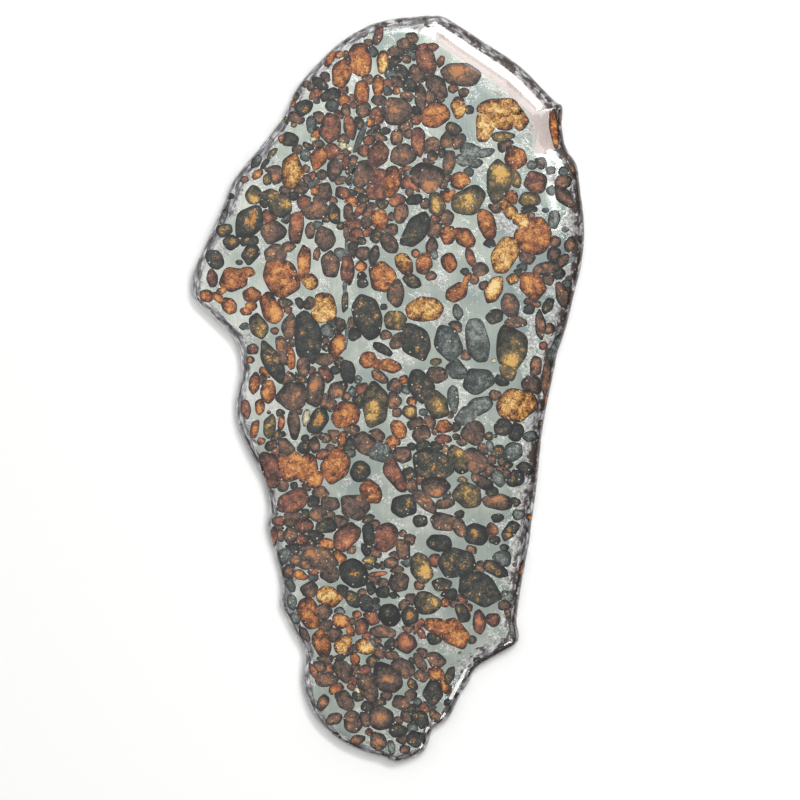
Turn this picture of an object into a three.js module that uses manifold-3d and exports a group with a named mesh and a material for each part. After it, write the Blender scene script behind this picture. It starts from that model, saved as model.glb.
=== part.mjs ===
// Pallasite meteorite slice, lying flat on its polished back.
// A thin plate sawn from a stony-iron meteorite: one continuous web of nickel-iron metal, with olivine
// crystals set in it that run right through the plate. Both faces are polished flat. The polished face
// is eased down towards the rim, most of all along the upper right, and the wall leans outwards.
// Millimetres, +Z up, +Y towards the slice's broad end, origin at the centre of the underside.
import * as THREE from "three";
import { mergeVertices } from "three/addons/utils/BufferGeometryUtils.js";
import Module from "manifold-3d";

const THICKNESS = 4.5; // of the sawn and polished plate
const BASE_EASE = 0.5; // how far the lower edge is rounded in, and how high that rounding reaches
const EASE_SLOPE = 0.16; // fall of the polished face per millimetre of eased margin
const SAMPLES_PER_SPAN = 2; // rim points made between two measured ones
const POCKET_GAP = 0.3; // clearance between a crystal and the metal round it
const METAL_WEB = 0.3; // thinnest metal left between two pockets
const CUT_MARGIN = 2; // how far a crystal's blank stands out of the plate before it is trimmed flush

// The rim, anticlockwise from the broad end: place of the outermost line of the wall, how far the wall
// leans in above that line, and the width of the margin where the polished face is eased down.
const RIM = [
  [12.2, 101.2, 1.2, 5.0],
  [6.0, 100.8, 1.2, 3.5],
  [-3.2, 99.3, 1.0, 3.2],
  [-12.7, 94.2, 0.9, 3.0],
  [-21.9, 85.3, 0.9, 3.0],
  [-25.6, 80.2, 0.9, 3.0],
  [-29.2, 72.8, 0.9, 3.0],
  [-35.4, 64.7, 1.2, 3.6],
  [-41.6, 57.2, 1.2, 3.8],
  [-44.4, 50.7, 1.2, 3.8],
  [-48.1, 42.3, 1.1, 3.4],
  [-52.1, 33.7, 1.0, 3.0],
  [-53.3, 28.0, 0.9, 2.8],
  [-52.0, 23.7, 0.8, 2.6],
  [-46.7, 18.6, 0.7, 2.6],
  [-41.4, 12.8, 0.7, 2.6],
  [-39.7, 5.3, 0.8, 2.6],
  [-41.2, -3.0, 0.9, 3.0],
  [-40.9, -9.0, 0.9, 3.0],
  [-37.8, -16.5, 0.9, 2.8],
  [-33.6, -24.9, 0.9, 2.6],
  [-32.1, -32.5, 0.8, 2.6],
  [-32.7, -37.1, 0.8, 2.8],
  [-30.4, -45.4, 0.9, 3.2],
  [-28.7, -53.8, 1.0, 3.4],
  [-29.1, -58.0, 1.0, 3.4],
  [-25.9, -64.8, 1.0, 3.4],
  [-22.8, -71.2, 0.9, 3.0],
  [-23.2, -79.6, 0.9, 2.8],
  [-20.6, -87.5, 0.9, 2.6],
  [-16.8, -92.2, 0.9, 2.4],
  [-11.5, -96.3, 0.9, 2.4],
  [-5.6, -98.8, 0.9, 2.4],
  [-1.2, -100.0, 1.0, 2.4],
  [2.8, -101.2, 1.0, 2.4],
  [9.7, -98.3, 1.0, 2.6],
  [12.2, -92.6, 1.1, 2.8],
  [16.5, -89.2, 1.2, 3.0],
  [19.2, -84.0, 1.4, 4.0],
  [22.3, -78.9, 1.4, 4.2],
  [24.6, -75.2, 1.2, 3.4],
  [31.0, -71.4, 1.2, 4.0],
  [34.7, -69.1, 1.2, 3.6],
  [35.6, -66.6, 1.2, 3.6],
  [35.0, -62.4, 1.4, 4.0],
  [36.3, -52.9, 1.8, 5.0],
  [38.3, -42.0, 2.0, 5.6],
  [39.0, -36.5, 2.0, 6.0],
  [40.5, -25.2, 2.0, 6.6],
  [41.6, -13.8, 2.2, 7.0],
  [43.0, -5.0, 2.2, 7.0],
  [45.1, 5.1, 2.4, 7.0],
  [46.2, 10.4, 2.4, 7.0],
  [48.6, 17.5, 2.4, 7.0],
  [50.5, 25.5, 2.4, 7.0],
  [52.7, 35.0, 2.4, 7.0],
  [53.2, 44.6, 2.4, 7.2],
  [52.1, 54.5, 2.6, 7.5],
  [51.2, 60.6, 2.8, 7.5],
  [48.3, 65.4, 2.6, 7.0],
  [47.2, 71.0, 2.2, 6.0],
  [47.3, 76.4, 1.6, 5.5],
  [45.4, 77.8, 1.4, 6.0],
  [40.8, 82.6, 1.4, 7.0],
  [36.2, 87.1, 1.4, 7.4],
  [30.9, 90.9, 1.4, 7.4],
  [22.1, 96.6, 1.4, 7.0],
  [15.6, 100.6, 1.2, 6.0],
];

// The line down the middle of the slice that the rim is drawn in towards: y, then x.
const SPINE = [
  [-86, -2],
  [-50, 4],
  [0, 3],
  [62, 5],
];

// Body colours of the minerals: linear red, green, blue, then roughness and metalness.
const FINISHES = {
  metal: [0.4, 0.43, 0.42, 0.32, 1],
  gold: [0.56, 0.27, 0.05, 0.25, 0],
  amber: [0.42, 0.14, 0.03, 0.25, 0],
  russet: [0.2, 0.06, 0.03, 0.28, 0],
  umber: [0.09, 0.05, 0.04, 0.3, 0],
  olive: [0.16, 0.12, 0.04, 0.28, 0],
  moss: [0.03, 0.035, 0.03, 0.3, 0],
  slate: [0.08, 0.1, 0.09, 0.3, 0],
};

// The larger crystals, from the broad end down. Crystals that grew together are one piece with a lobe
// for each: centre x and y, long and short diameter, and the long one's angle from +X in degrees.
const CRYSTALS = [
  ["amber", [-7.7, 88.7, 9.4, 7.2, 85], [-12.3, 85.2, 8, 5.6, 65]],
  ["umber", [19.6, 85, 10.4, 6.6, -12]],
  ["umber", [-2.7, 81.8, 6.4, 3.4, 85], [-2.2, 77.8, 5, 3.4, -10], [2.2, 74.9, 8.8, 8.2, 30]],
  ["gold", [30.4, 74.4, 13, 9, 5], [26.4, 71.2, 9.4, 5.6, 80], [35, 73, 7, 5, -45]],
  ["amber", [12.4, 73.8, 8.2, 6.6, 15], [7.6, 72.6, 3.4, 2.8, 0]],
  [
    "slate",
    [22.4, 64.2, 6.4, 4.8, -30],
    [20, 61.8, 4, 3.6, 0],
    [25.6, 63.6, 6, 2.8, 12],
    [23.2, 61, 4.4, 3, 0],
  ],
  ["umber", [4.1, 63, 7.2, 6.6, 0], [2.3, 67.7, 4.6, 3.6, 80]],
  [
    "russet",
    [-7.2, 57.9, 8.4, 6, 70],
    [-3, 62.8, 8, 5.6, 60],
    [-2.6, 57.2, 6, 4.6, 0],
    [0.9, 55.8, 8.2, 6, 80],
    [-3.2, 53.4, 6.4, 6, 0],
  ],
  ["gold", [-26, 58.8, 9.2, 6.4, 88]],
  ["umber", [10.4, 57.2, 9.4, 8.4, -20]],
  ["olive", [30, 56, 12.4, 7.2, 82], [34.4, 56.6, 5.4, 3.2, -70]],
  ["olive", [21.8, 50.9, 9.4, 7.8, 30]],
  ["olive", [-29.2, 49.6, 6.8, 6.2, -60], [-32, 52.4, 4.6, 3.4, 10]],
  ["umber", [-19.8, 48.2, 8, 5.6, 10], [-22.7, 50.4, 4.6, 3.8, 60], [-17.6, 52.6, 6.4, 5.2, 50]],
  ["moss", [-37.4, 44.9, 9.8, 7.2, 55]],
  ["moss", [7.4, 42.8, 11.2, 6, 58]],
  [
    "amber",
    [16.2, 41.6, 5.4, 4.4, 75],
    [20.8, 40.9, 7, 5, -45],
    [22.3, 35.3, 6, 2.8, -75],
    [24.8, 32.2, 4.6, 3.8, 0],
  ],
  [
    "amber",
    [39.3, 41, 11, 9.2, 40],
    [36.6, 44.6, 4, 3, 0],
    [35.7, 45.8, 4.6, 3, 20],
    [32.7, 48.3, 6.4, 3.8, -55],
  ],
  ["gold", [31.8, 36.2, 10.8, 7, 65]],
  ["gold", [4.3, 33.9, 6.6, 5, -60]],
  ["amber", [-22.6, 34.4, 9.6, 4, 85], [-21.1, 28.9, 4.6, 4.6, 0]],
  ["amber", [-28.8, 30, 11.4, 9, -55], [-30.4, 36.4, 6.6, 5.6, 0]],
  ["amber", [-1.7, 30, 8.6, 7, -60]],
  ["amber", [-41.4, 29.6, 8.2, 6.6, 10], [-38, 31.4, 4, 3, 0]],
  ["russet", [38.8, 27.8, 8.6, 6.8, -50]],
  ["amber", [18.5, 26, 6.8, 4.8, 35], [21.3, 29.6, 4, 2, 55]],
  ["gold", [-17.4, 21.8, 9, 6.8, -70], [-21, 23, 4.2, 3.8, 0]],
  ["gold", [9.9, 21.5, 9.8, 7.6, 5]],
  ["moss", [-5.9, 19.7, 13.2, 8.2, -78]],
  ["moss", [-22, 13.9, 13.4, 7.6, -78]],
  ["slate", [24, 13.2, 12.2, 6.8, -70]],
  ["slate", [16.3, 12.3, 9.6, 7.2, -72]],
  ["moss", [7.6, 12.3, 10.8, 7.6, -60], [2.6, 13, 5.2, 3.8, 45]],
  ["olive", [33.5, 11, 13, 8.2, -85], [32.4, 4.6, 5, 4.4, -60]],
  ["amber", [-5.2, 7.7, 5, 4.8, 0], [0.4, 6.2, 6.8, 3.8, -12], [-2.6, 6.6, 4.4, 3, 0]],
  ["slate", [24.2, 2.2, 8.4, 7.2, 0]],
  ["moss", [9, 0.6, 9.6, 6.8, -70], [13.2, -4.4, 8.2, 6.2, -70]],
  ["umber", [-25.9, -2, 8.8, 7.2, 30], [-19.8, 0, 10, 5, 85]],
  ["gold", [34.8, -4.6, 11, 9.6, 20]],
  ["olive", [-3.4, -4.5, 11.8, 7.8, -88]],
  ["amber", [-11.3, -7, 8.2, 7.2, 20]],
  ["slate", [24.4, -4.8, 8.2, 5.2, 30], [21, -7.2, 6.4, 4.6, 30], [22.9, -11.9, 7, 6, -60]],
  ["russet", [-6.2, -14.7, 7.8, 5.6, -40], [-2.3, -17, 7, 6, -20], [1.7, -23, 10.4, 5, -65]],
  [
    "amber",
    [-26, -21, 9, 8.8, 0],
    [-21.9, -21.6, 8, 6.6, -80],
    [-31.6, -21.2, 9, 6, -65],
    [-27.6, -16, 6, 4, -60],
    [-19.8, -24.4, 5.4, 5, 20],
    [-14.2, -20.8, 9.6, 7.6, 75],
  ],
  [
    "umber",
    [12, -20.4, 11.4, 9, -10],
    [12.8, -26.4, 8.2, 6.4, 10],
    [18.8, -19.2, 8.2, 5.4, -60],
    [23.3, -19.2, 8, 6.4, -30],
  ],
  ["umber", [21.5, -28.8, 7.8, 7.2, 0]],
  ["umber", [-25.7, -30.4, 9.2, 6.8, 15]],
  ["russet", [-15.6, -31, 5, 4, 0], [-9, -31.8, 8.8, 7.2, 0], [-4.6, -27.6, 7.6, 5.8, -60]],
  ["umber", [15, -36, 8, 5.2, -10], [19, -37.2, 6.6, 3.8, -50]],
  ["russet", [-0.6, -40.2, 8.2, 6.4, 80], [-5.2, -39.4, 7, 4, -85]],
  ["russet", [-11.3, -40.2, 9.2, 6, 50]],
  ["umber", [-18.6, -45.6, 10, 6.6, -15], [-15.6, -50, 5.6, 5.2, 0]],
  ["moss", [18.9, -47, 10.2, 8.6, 15]],
  ["moss", [-9.4, -49.8, 8.8, 7.2, -40]],
  ["moss", [24.6, -54.5, 12.6, 8.4, -30]],
  ["amber", [-21.4, -60.6, 9.2, 5.8, -65], [-17.6, -60.4, 5, 4.6, 0]],
  ["amber", [13.2, -64.2, 7.2, 5, -20], [18, -66.2, 9.6, 7, -50]],
  ["umber", [0, -78.2, 9.6, 7.6, -65]],
  ["umber", [-5.4, -80.4, 10.2, 5.2, -72], [-6.2, -76, 3.6, 3, 0]],
];

// A crystal's outline is a few millimetres between corners, and bulges unevenly as a natural grain does.
const CORNER_SPACING = 2.3;
const FEWEST_CORNERS = 8;
const MOST_CORNERS = 13;
const BULGE = { twice: 0.035, thrice: 0.05, four: 0.03 };

const wasm = await Module();
wasm.setup();

const radians = THREE.MathUtils.degToRad;
const mix = THREE.MathUtils.lerp;

function toSolid(geometry) {
  const bare = geometry.index ? geometry.toNonIndexed() : geometry.clone();
  bare.deleteAttribute("normal");
  bare.deleteAttribute("uv");
  const merged = mergeVertices(bare, 1e-4);
  return new wasm.Manifold(
    new wasm.Mesh({
      numProp: 3,
      vertProperties: merged.attributes.position.array,
      triVerts: new Uint32Array(merged.index.array),
    }),
  );
}

function toGeometry(solid) {
  const mesh = solid.getMesh();
  const geometry = new THREE.BufferGeometry();
  geometry.setAttribute("position", new THREE.BufferAttribute(Float32Array.from(mesh.vertProperties), 3));
  geometry.setIndex(new THREE.BufferAttribute(Uint32Array.from(mesh.triVerts), 1));
  geometry.computeVertexNormals();
  return geometry;
}

// Trimming can leave a stray chip beside the piece: only the largest body is kept.
function largestBody(solid) {
  const bodies = solid.decompose();
  return bodies.reduce((best, body) => (body.volume() > best.volume() ? body : best));
}

function spineAt(y) {
  const held = THREE.MathUtils.clamp(y, SPINE[0][0], SPINE[SPINE.length - 1][0]);
  const upper = Math.max(1, SPINE.findIndex(([level]) => level >= held));
  const [y0, x0] = SPINE[upper - 1];
  const [y1, x1] = SPINE[upper];
  return new THREE.Vector2(mix(x0, x1, (held - y0) / (y1 - y0)), held);
}

// The rim as evenly split spans of one smooth closed curve, each point with its lean and margin.
function rimPoints() {
  const curve = new THREE.CatmullRomCurve3(
    RIM.map(([x, y]) => new THREE.Vector3(x, y, 0)),
    true,
  );
  const count = RIM.length * SAMPLES_PER_SPAN;
  return Array.from({ length: count }, (_, i) => {
    const place = curve.getPoint(i / count);
    const span = i / SAMPLES_PER_SPAN;
    const before = RIM[Math.floor(span)];
    const after = RIM[(Math.floor(span) + 1) % RIM.length];
    const share = span - Math.floor(span);
    return {
      outer: new THREE.Vector2(place.x, place.y),
      lean: mix(before[2], after[2], share),
      margin: mix(before[3], after[3], share),
    };
  });
}

// One ring of the plate: each rim point drawn in towards the spine, at its own height.
function ring(rim, inset, height) {
  return rim.map((point) => {
    const inwards = spineAt(point.outer.y).sub(point.outer).normalize();
    const place = point.outer.clone().addScaledVector(inwards, inset(point));
    return new THREE.Vector3(place.x, place.y, height(point));
  });
}

// A closed body through rings of equal count, from the lowest up, with a flat cap on each end.
function loft(rings) {
  const count = rings[0].length;
  const positions = rings.flat().flatMap((p) => [p.x, p.y, p.z]);
  const indices = [];
  for (let level = 0; level + 1 < rings.length; level++) {
    for (let i = 0; i < count; i++) {
      const a = level * count + i;
      const b = level * count + ((i + 1) % count);
      indices.push(a, b, b + count, a, b + count, a + count);
    }
  }
  const cap = (points, first, upwards) => {
    const flat = points.map((p) => new THREE.Vector2(p.x, p.y));
    for (const [a, b, c] of THREE.ShapeUtils.triangulateShape(flat, [])) {
      indices.push(first + a, first + (upwards ? b : c), first + (upwards ? c : b));
    }
  };
  cap(rings[0], 0, false);
  cap(rings[rings.length - 1], (rings.length - 1) * count, true);
  const geometry = new THREE.BufferGeometry();
  geometry.setAttribute("position", new THREE.Float32BufferAttribute(positions, 3));
  geometry.setIndex(indices);
  return geometry;
}

function plate() {
  const rim = rimPoints();
  return toSolid(
    loft([
      ring(rim, () => BASE_EASE, () => 0),
      ring(rim, () => 0, () => BASE_EASE),
      ring(rim, (p) => p.lean, (p) => THICKNESS - EASE_SLOPE * p.margin),
      ring(rim, (p) => p.lean + p.margin, () => THICKNESS),
    ]),
  );
}

// One crystal as an upright blank taller than the plate, grown outwards by the given amount.
function lobeBlank([x, y, long, short, tilt], grown) {
  const around = (Math.PI * (long + short)) / 2;
  const corners = THREE.MathUtils.clamp(Math.round(around / CORNER_SPACING), FEWEST_CORNERS, MOST_CORNERS);
  const turn = radians(tilt);
  const phase = 1.7 * x + 0.9 * y; // each place on the slice has its own unevenness
  const points = Array.from({ length: corners }, (_, i) => {
    const a = (i / corners) * 2 * Math.PI;
    const bulge =
      1 +
      BULGE.twice * Math.sin(2 * a + phase) +
      BULGE.thrice * Math.sin(3 * a + 2.3 * phase) +
      BULGE.four * Math.sin(4 * a + 3.1 * phase);
    const along = bulge * (long / 2 + grown) * Math.cos(a);
    const across = bulge * (short / 2 + grown) * Math.sin(a);
    return new THREE.Vector2(
      x + along * Math.cos(turn) - across * Math.sin(turn),
      y + along * Math.sin(turn) + across * Math.cos(turn),
    );
  });
  const blank = new THREE.ExtrudeGeometry(new THREE.Shape(points), {
    depth: THICKNESS + 2 * CUT_MARGIN,
    bevelEnabled: false,
  });
  blank.translate(0, 0, -CUT_MARGIN);
  return toSolid(blank);
}

const crystalBlank = (lobes, grown) => wasm.Manifold.union(lobes.map((lobe) => lobeBlank(lobe, grown)));

function pieceMesh(name, solid, finish) {
  const [red, green, blue, roughness, metalness] = FINISHES[finish];
  const material = new THREE.MeshStandardMaterial({
    color: new THREE.Color(red, green, blue),
    roughness,
    metalness,
  });
  const mesh = new THREE.Mesh(toGeometry(solid), material);
  mesh.name = name;
  return mesh;
}

// Crystals take their places from the top of the list down. A later one is cut back from the earlier
// ones, so that metal always shows between two pockets.
const slice = new THREE.Group();
let metal = plate();
const blank = metal;
const settled = [];
CRYSTALS.forEach(([finish, ...lobes], index) => {
  let crystal = crystalBlank(lobes, 0);
  let pocket = crystalBlank(lobes, POCKET_GAP);
  for (const earlier of settled) {
    crystal = crystal.subtract(crystalBlank(earlier, 2 * POCKET_GAP + METAL_WEB));
    pocket = pocket.subtract(crystalBlank(earlier, POCKET_GAP + METAL_WEB));
  }
  settled.push(lobes);
  const name = `olivine_${String(index + 1).padStart(2, "0")}`;
  slice.add(pieceMesh(name, largestBody(crystal).intersect(blank), finish));
  metal = metal.subtract(pocket);
});
slice.add(pieceMesh("nickel_iron_metal", largestBody(metal), "metal"));

// The origin is put under the middle of the slice.
const extent = new THREE.Box3().setFromObject(slice);
const middle = extent.getCenter(new THREE.Vector3());
slice.position.set(-middle.x, -middle.y, 0);

export default slice;
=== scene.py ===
import math
import random
from functools import partial

import bmesh
import bpy
from mathutils import Matrix, Vector
from mathutils.bvhtree import BVHTree


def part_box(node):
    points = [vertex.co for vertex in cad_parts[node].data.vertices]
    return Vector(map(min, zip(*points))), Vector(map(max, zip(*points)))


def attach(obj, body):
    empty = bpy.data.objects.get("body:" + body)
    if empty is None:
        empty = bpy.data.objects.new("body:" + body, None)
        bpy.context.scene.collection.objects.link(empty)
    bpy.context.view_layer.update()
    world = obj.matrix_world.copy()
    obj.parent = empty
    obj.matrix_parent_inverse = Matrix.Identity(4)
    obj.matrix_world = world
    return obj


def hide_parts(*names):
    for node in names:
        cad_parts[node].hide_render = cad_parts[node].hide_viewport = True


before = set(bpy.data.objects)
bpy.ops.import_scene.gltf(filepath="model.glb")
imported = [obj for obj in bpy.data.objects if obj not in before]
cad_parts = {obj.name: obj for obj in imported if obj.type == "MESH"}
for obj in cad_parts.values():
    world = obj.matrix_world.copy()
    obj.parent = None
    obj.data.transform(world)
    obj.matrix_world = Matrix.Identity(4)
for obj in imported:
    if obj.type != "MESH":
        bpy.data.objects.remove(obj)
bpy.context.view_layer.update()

# The view. The slice lies on its polished back on a pale table, and the camera looks straight down on it,
# framed as in the photograph. A long lens keeps the rim free of perspective.
MM = 0.001
THICKNESS = 4.5
VIEW_WIDTH = 216 * MM
VIEW_CENTRE = (3.24 * MM, -3.04 * MM)
LENS_MM = 180
SENSOR_MM = 36

scene = bpy.context.scene
lens = bpy.data.cameras.new("camera")
lens.lens = LENS_MM
lens.sensor_width = SENSOR_MM
camera = bpy.data.objects.new("camera", lens)
camera.location = (*VIEW_CENTRE, VIEW_WIDTH * LENS_MM / SENSOR_MM + THICKNESS * MM)
scene.collection.objects.link(camera)
scene.camera = camera

# The studio: a soft sky that is brightest overhead and brighter towards the broad end, two lamps to
# the upper right that draw the veil and the white band along the eased margin on that side, and a small
# one to the lower right for the glossy bevel at the narrow end.
SKY_LOW = 0.3
SKY_OVERHEAD = 1.01
LOW_RISE = 0.55
HIGH_RISE = 0.97
BRIGHTER_SIDE = (-0.6, 1.3, 0)
SIDE_REACH = 0.17
SIDE_TILT = 0.28
# name, place, aimed at, width, height, power in watts
LAMPS = [
    ("soft_box", (0.175, 0.275, 0.94), (0.03, 0.09, 0), 0.40, 0.17, 0.75),
    ("strip_light", (0.325, 0.455, 0.87), (0.03, 0.09, 0), 0.47, 0.17, 4.4),
    ("corner_box", (0.40, -0.42, 0.86), (0.02, -0.08, 0), 0.20, 0.14, 1.5),
]


def to_linear(hex_colour):
    """A colour as linear light, from its sRGB hex value."""
    parts = [int(hex_colour[i : i + 2], 16) / 255 for i in (1, 3, 5)]
    return (*(p / 12.92 if p <= 0.04045 else ((p + 0.055) / 1.055) ** 2.4 for p in parts), 1)


def set_inputs(tree, node, inputs):
    """Sets each input of a node to a value, or links it to another node's output."""
    for key, value in inputs.items():
        if isinstance(value, bpy.types.NodeSocket):
            tree.links.new(value, node.inputs[key])
        else:
            node.inputs[key].default_value = value


def add_node(tree, kind, inputs=None, stops=(), **settings):
    """Adds a node with its settings and inputs, and a ramp's stops as (at, hex colour). Gives its outputs."""
    node = tree.nodes.new("ShaderNode" + kind)
    for key, value in settings.items():
        setattr(node, key, value)
    set_inputs(tree, node, inputs or {})
    for index, (at, hex_colour) in enumerate(stops):
        elements = node.color_ramp.elements
        stop = elements[index] if index < len(elements) else elements.new(at)
        stop.position = at
        stop.color = to_linear(hex_colour)
    return node.outputs


scene.view_settings.view_transform = "Standard"
world = bpy.data.worlds.new("studio")
world.use_nodes = True
scene.world = world
sky = world.node_tree
add = partial(add_node, sky)
direction = add("TexCoord")["Generated"]
up = add("SeparateXYZ", {0: direction})["Z"]
sideways = add("VectorMath", {0: direction, 1: BRIGHTER_SIDE}, operation="DOT_PRODUCT")["Value"]
rise = {"Value": up, "From Min": LOW_RISE, "From Max": HIGH_RISE, "To Min": SKY_LOW, "To Max": SKY_OVERHEAD}
tilt = {"Value": sideways, "From Min": -SIDE_REACH, "From Max": SIDE_REACH}
tilt |= {"To Min": -SIDE_TILT, "To Max": SIDE_TILT}
parts = {0: add("MapRange", rise)["Result"], 1: add("MapRange", tilt)["Result"]}
glow = add("Math", parts, operation="ADD")[0]
set_inputs(sky, sky.nodes["Background"], {"Color": (1, 1, 1, 1), "Strength": glow})
for name, place, target, width, height, power in LAMPS:
    light = bpy.data.lights.new(name, "AREA")
    light.shape = "RECTANGLE"
    light.size = width
    light.size_y = height
    light.energy = power
    lamp = bpy.data.objects.new(name, light)
    lamp.location = place
    lamp.rotation_euler = (Vector(target) - Vector(place)).to_track_quat("-Z", "Y").to_euler()
    scene.collection.objects.link(lamp)


# The table top: a pale matt board, much wider than the view, a hair below the slice's back so that the two
# don't share a plane.
BOARD_COLOUR = "#F9F9F8"
BOARD_ROUGHNESS = 0.9
TABLE_REACH = 3.0
TABLE_CLEARANCE = 0.02 * MM


def new_material(name):
    """A material and its node tree."""
    material = bpy.data.materials.new(name)
    material.use_nodes = True
    return material, material.node_tree


board, tree = new_material("matt_white_board")
finish = {"Base Color": to_linear(BOARD_COLOUR), "Roughness": BOARD_ROUGHNESS}
set_inputs(tree, tree.nodes["Principled BSDF"], finish)
sheet = bmesh.new()
below = Matrix.Translation((0, 0, -TABLE_CLEARANCE))
bmesh.ops.create_grid(sheet, x_segments=1, y_segments=1, size=TABLE_REACH, matrix=below)
table_mesh = bpy.data.meshes.new("table_top")
sheet.to_mesh(table_mesh)
sheet.free()
table_mesh.materials.append(board)
table_top = bpy.data.objects.new("table_top", table_mesh)
scene.collection.objects.link(table_top)


# The plate of nickel-iron. It was sawn from the stone, ground and polished on both faces, and its edge
# is the stone's own weathered outside: rough and dark, under the same clear lacquer as the faces.
# Its polished face is eased down towards the rim, most of all along the upper right.

# How much the back's edge is eased and at which share of that its corner lies, how steeply the polished
# face drops towards the rim and how much of that is a straight slope, the least that the wall leans and
# that the margin measures, and the steps of the curve between two points of the rim.
BASE_EASE = 0.5
BASE_CORNER = 0.3
EASE_SLOPE = 0.16
CREASE_SHARE = 0.25
LEAST_LEAN = 0.5
LEAST_MARGIN = 2.0
STEPS_PER_SPAN = 5
# The rim, anticlockwise from the broad end, in millimetres: the outermost line of the wall, how far the
# wall leans in above it, and the width of the eased margin.
RIM = [
    (12.2, 101.2, 1.2, 5.0), (6.0, 100.8, 1.2, 3.5), (-3.2, 99.3, 1.0, 3.2), (-12.7, 94.2, 0.9, 3.0),
    (-21.9, 85.3, 0.9, 3.0), (-25.6, 80.2, 0.9, 3.0), (-29.2, 72.8, 0.9, 3.0), (-35.4, 64.7, 1.2, 3.6),
    (-41.6, 57.2, 1.2, 3.8), (-44.4, 50.7, 1.2, 3.8), (-48.1, 42.3, 1.1, 3.4), (-52.1, 33.7, 1.0, 3.0),
    (-53.3, 28.0, 0.9, 2.8), (-52.0, 23.7, 0.8, 2.6), (-46.7, 18.6, 0.7, 2.6), (-41.4, 12.8, 0.7, 2.6),
    (-39.7, 5.3, 0.8, 2.6), (-41.2, -3.0, 0.9, 3.0), (-40.9, -9.0, 0.9, 3.0), (-37.8, -16.5, 0.9, 2.8),
    (-33.6, -24.9, 0.9, 2.6), (-32.1, -32.5, 0.8, 2.6), (-32.7, -37.1, 0.8, 2.8), (-30.4, -45.4, 0.9, 3.2),
    (-28.7, -53.8, 1.0, 3.4), (-29.1, -58.0, 1.0, 3.4), (-25.9, -64.8, 1.0, 3.4), (-22.8, -71.2, 0.9, 3.0),
    (-23.2, -79.6, 0.9, 2.8), (-20.6, -87.5, 0.9, 2.6), (-16.8, -92.2, 0.9, 2.4), (-11.5, -96.3, 0.9, 2.4),
    (-5.6, -98.8, 0.9, 2.4), (-1.2, -100.0, 1.0, 2.4), (2.8, -101.2, 1.0, 2.4), (9.7, -98.3, 1.0, 2.6),
    (12.2, -92.6, 1.1, 2.8), (16.5, -89.2, 1.2, 3.0), (19.2, -84.0, 1.4, 4.0), (22.3, -78.9, 1.4, 4.2),
    (24.6, -75.2, 1.2, 3.4), (31.0, -71.4, 1.2, 4.0), (34.7, -69.1, 1.2, 3.6), (35.6, -66.6, 1.2, 3.6),
    (35.0, -62.4, 1.4, 4.0), (36.3, -52.9, 1.8, 5.0), (38.3, -42.0, 2.0, 5.6), (39.0, -36.5, 2.0, 6.0),
    (40.5, -25.2, 2.0, 6.6), (41.6, -13.8, 2.2, 7.0), (43.0, -5.0, 2.2, 7.0), (45.1, 5.1, 2.4, 7.0),
    (46.2, 10.4, 2.4, 7.0), (48.6, 17.5, 2.4, 7.0), (50.5, 25.5, 2.4, 7.0), (52.7, 35.0, 2.4, 7.0),
    (53.2, 44.6, 2.4, 7.2), (52.1, 54.5, 2.6, 7.5), (51.2, 60.6, 2.8, 7.5), (48.3, 65.4, 2.6, 7.0),
    (47.2, 71.0, 2.2, 6.0), (47.3, 76.4, 1.8, 5.5), (45.4, 77.8, 2.0, 6.0), (40.8, 82.6, 2.3, 6.3),
    (36.2, 87.1, 2.3, 6.5), (30.9, 90.9, 2.3, 6.5), (22.1, 96.6, 2.2, 6.3), (15.6, 100.6, 1.8, 5.9),
]
# The slice's middle line as (y, x), which the rings of the plate are drawn in towards.
SPINE = [(-86, -2), (-50, 4), (0, 3), (62, 5)]
# The rings from the back up: for the wall, how high up it and how much of its lean each one stands, and for
# the margin, how far across it.
WALL_RINGS = [(0.12, 0.0), (0.45, 0.08), (0.74, 0.32), (0.91, 0.66)]
MARGIN_RINGS = [0.03, 0.12, 0.26, 0.42, 0.6, 0.8, 1.0]
# How rough the wall is, in millimetres, and how the roughness moves on round the rim from ring to ring.
WALL_ROUGHNESS = 0.22
WALL_SET_BACK = 0.02
ROUGH_STRIDE = 7
ROUGH_TURN = 40
ROUGH_SEED = 11


def rim_curve():
    """The rim as a smooth closed curve of (place, lean, margin), through the listed points."""
    found = []
    count = len(RIM)
    for i in range(count):
        before, start, end, after = (RIM[(i + k) % count] for k in (-1, 0, 1, 2))
        for step in range(STEPS_PER_SPAN):
            t = step / STEPS_PER_SPAN
            point = []
            for a, b, c, d in zip(before, start, end, after):
                bend, turn = 2 * a - 5 * b + 4 * c - d, 3 * b - a - 3 * c + d
                point.append(0.5 * (2 * b + (c - a) * t + bend * t * t + turn * t**3))
            found.append((Vector(point[:2]), max(LEAST_LEAN, point[2]), max(LEAST_MARGIN, point[3])))
    return found


def spine_at(y):
    """The place on the spine that a rim point at this height is drawn in towards."""
    y = min(max(y, SPINE[0][0]), SPINE[-1][0])
    for (y0, x0), (y1, x1) in zip(SPINE, SPINE[1:]):
        if y <= y1:
            return Vector((x0 + (x1 - x0) * (y - y0) / (y1 - y0), y))


rim = rim_curve()
low = [min(p[k] for p, _, _ in rim) for k in (0, 1)]
high = [max(p[k] for p, _, _ in rim) for k in (0, 1)]
cad_low, cad_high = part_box("nickel_iron_metal")
# The solids stand with the middle of the rim's box over the origin, and so does everything here.
SHIFT = Vector([(cad_low[k] + cad_high[k]) / 2 / MM - (low[k] + high[k]) / 2 for k in (0, 1)])


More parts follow.
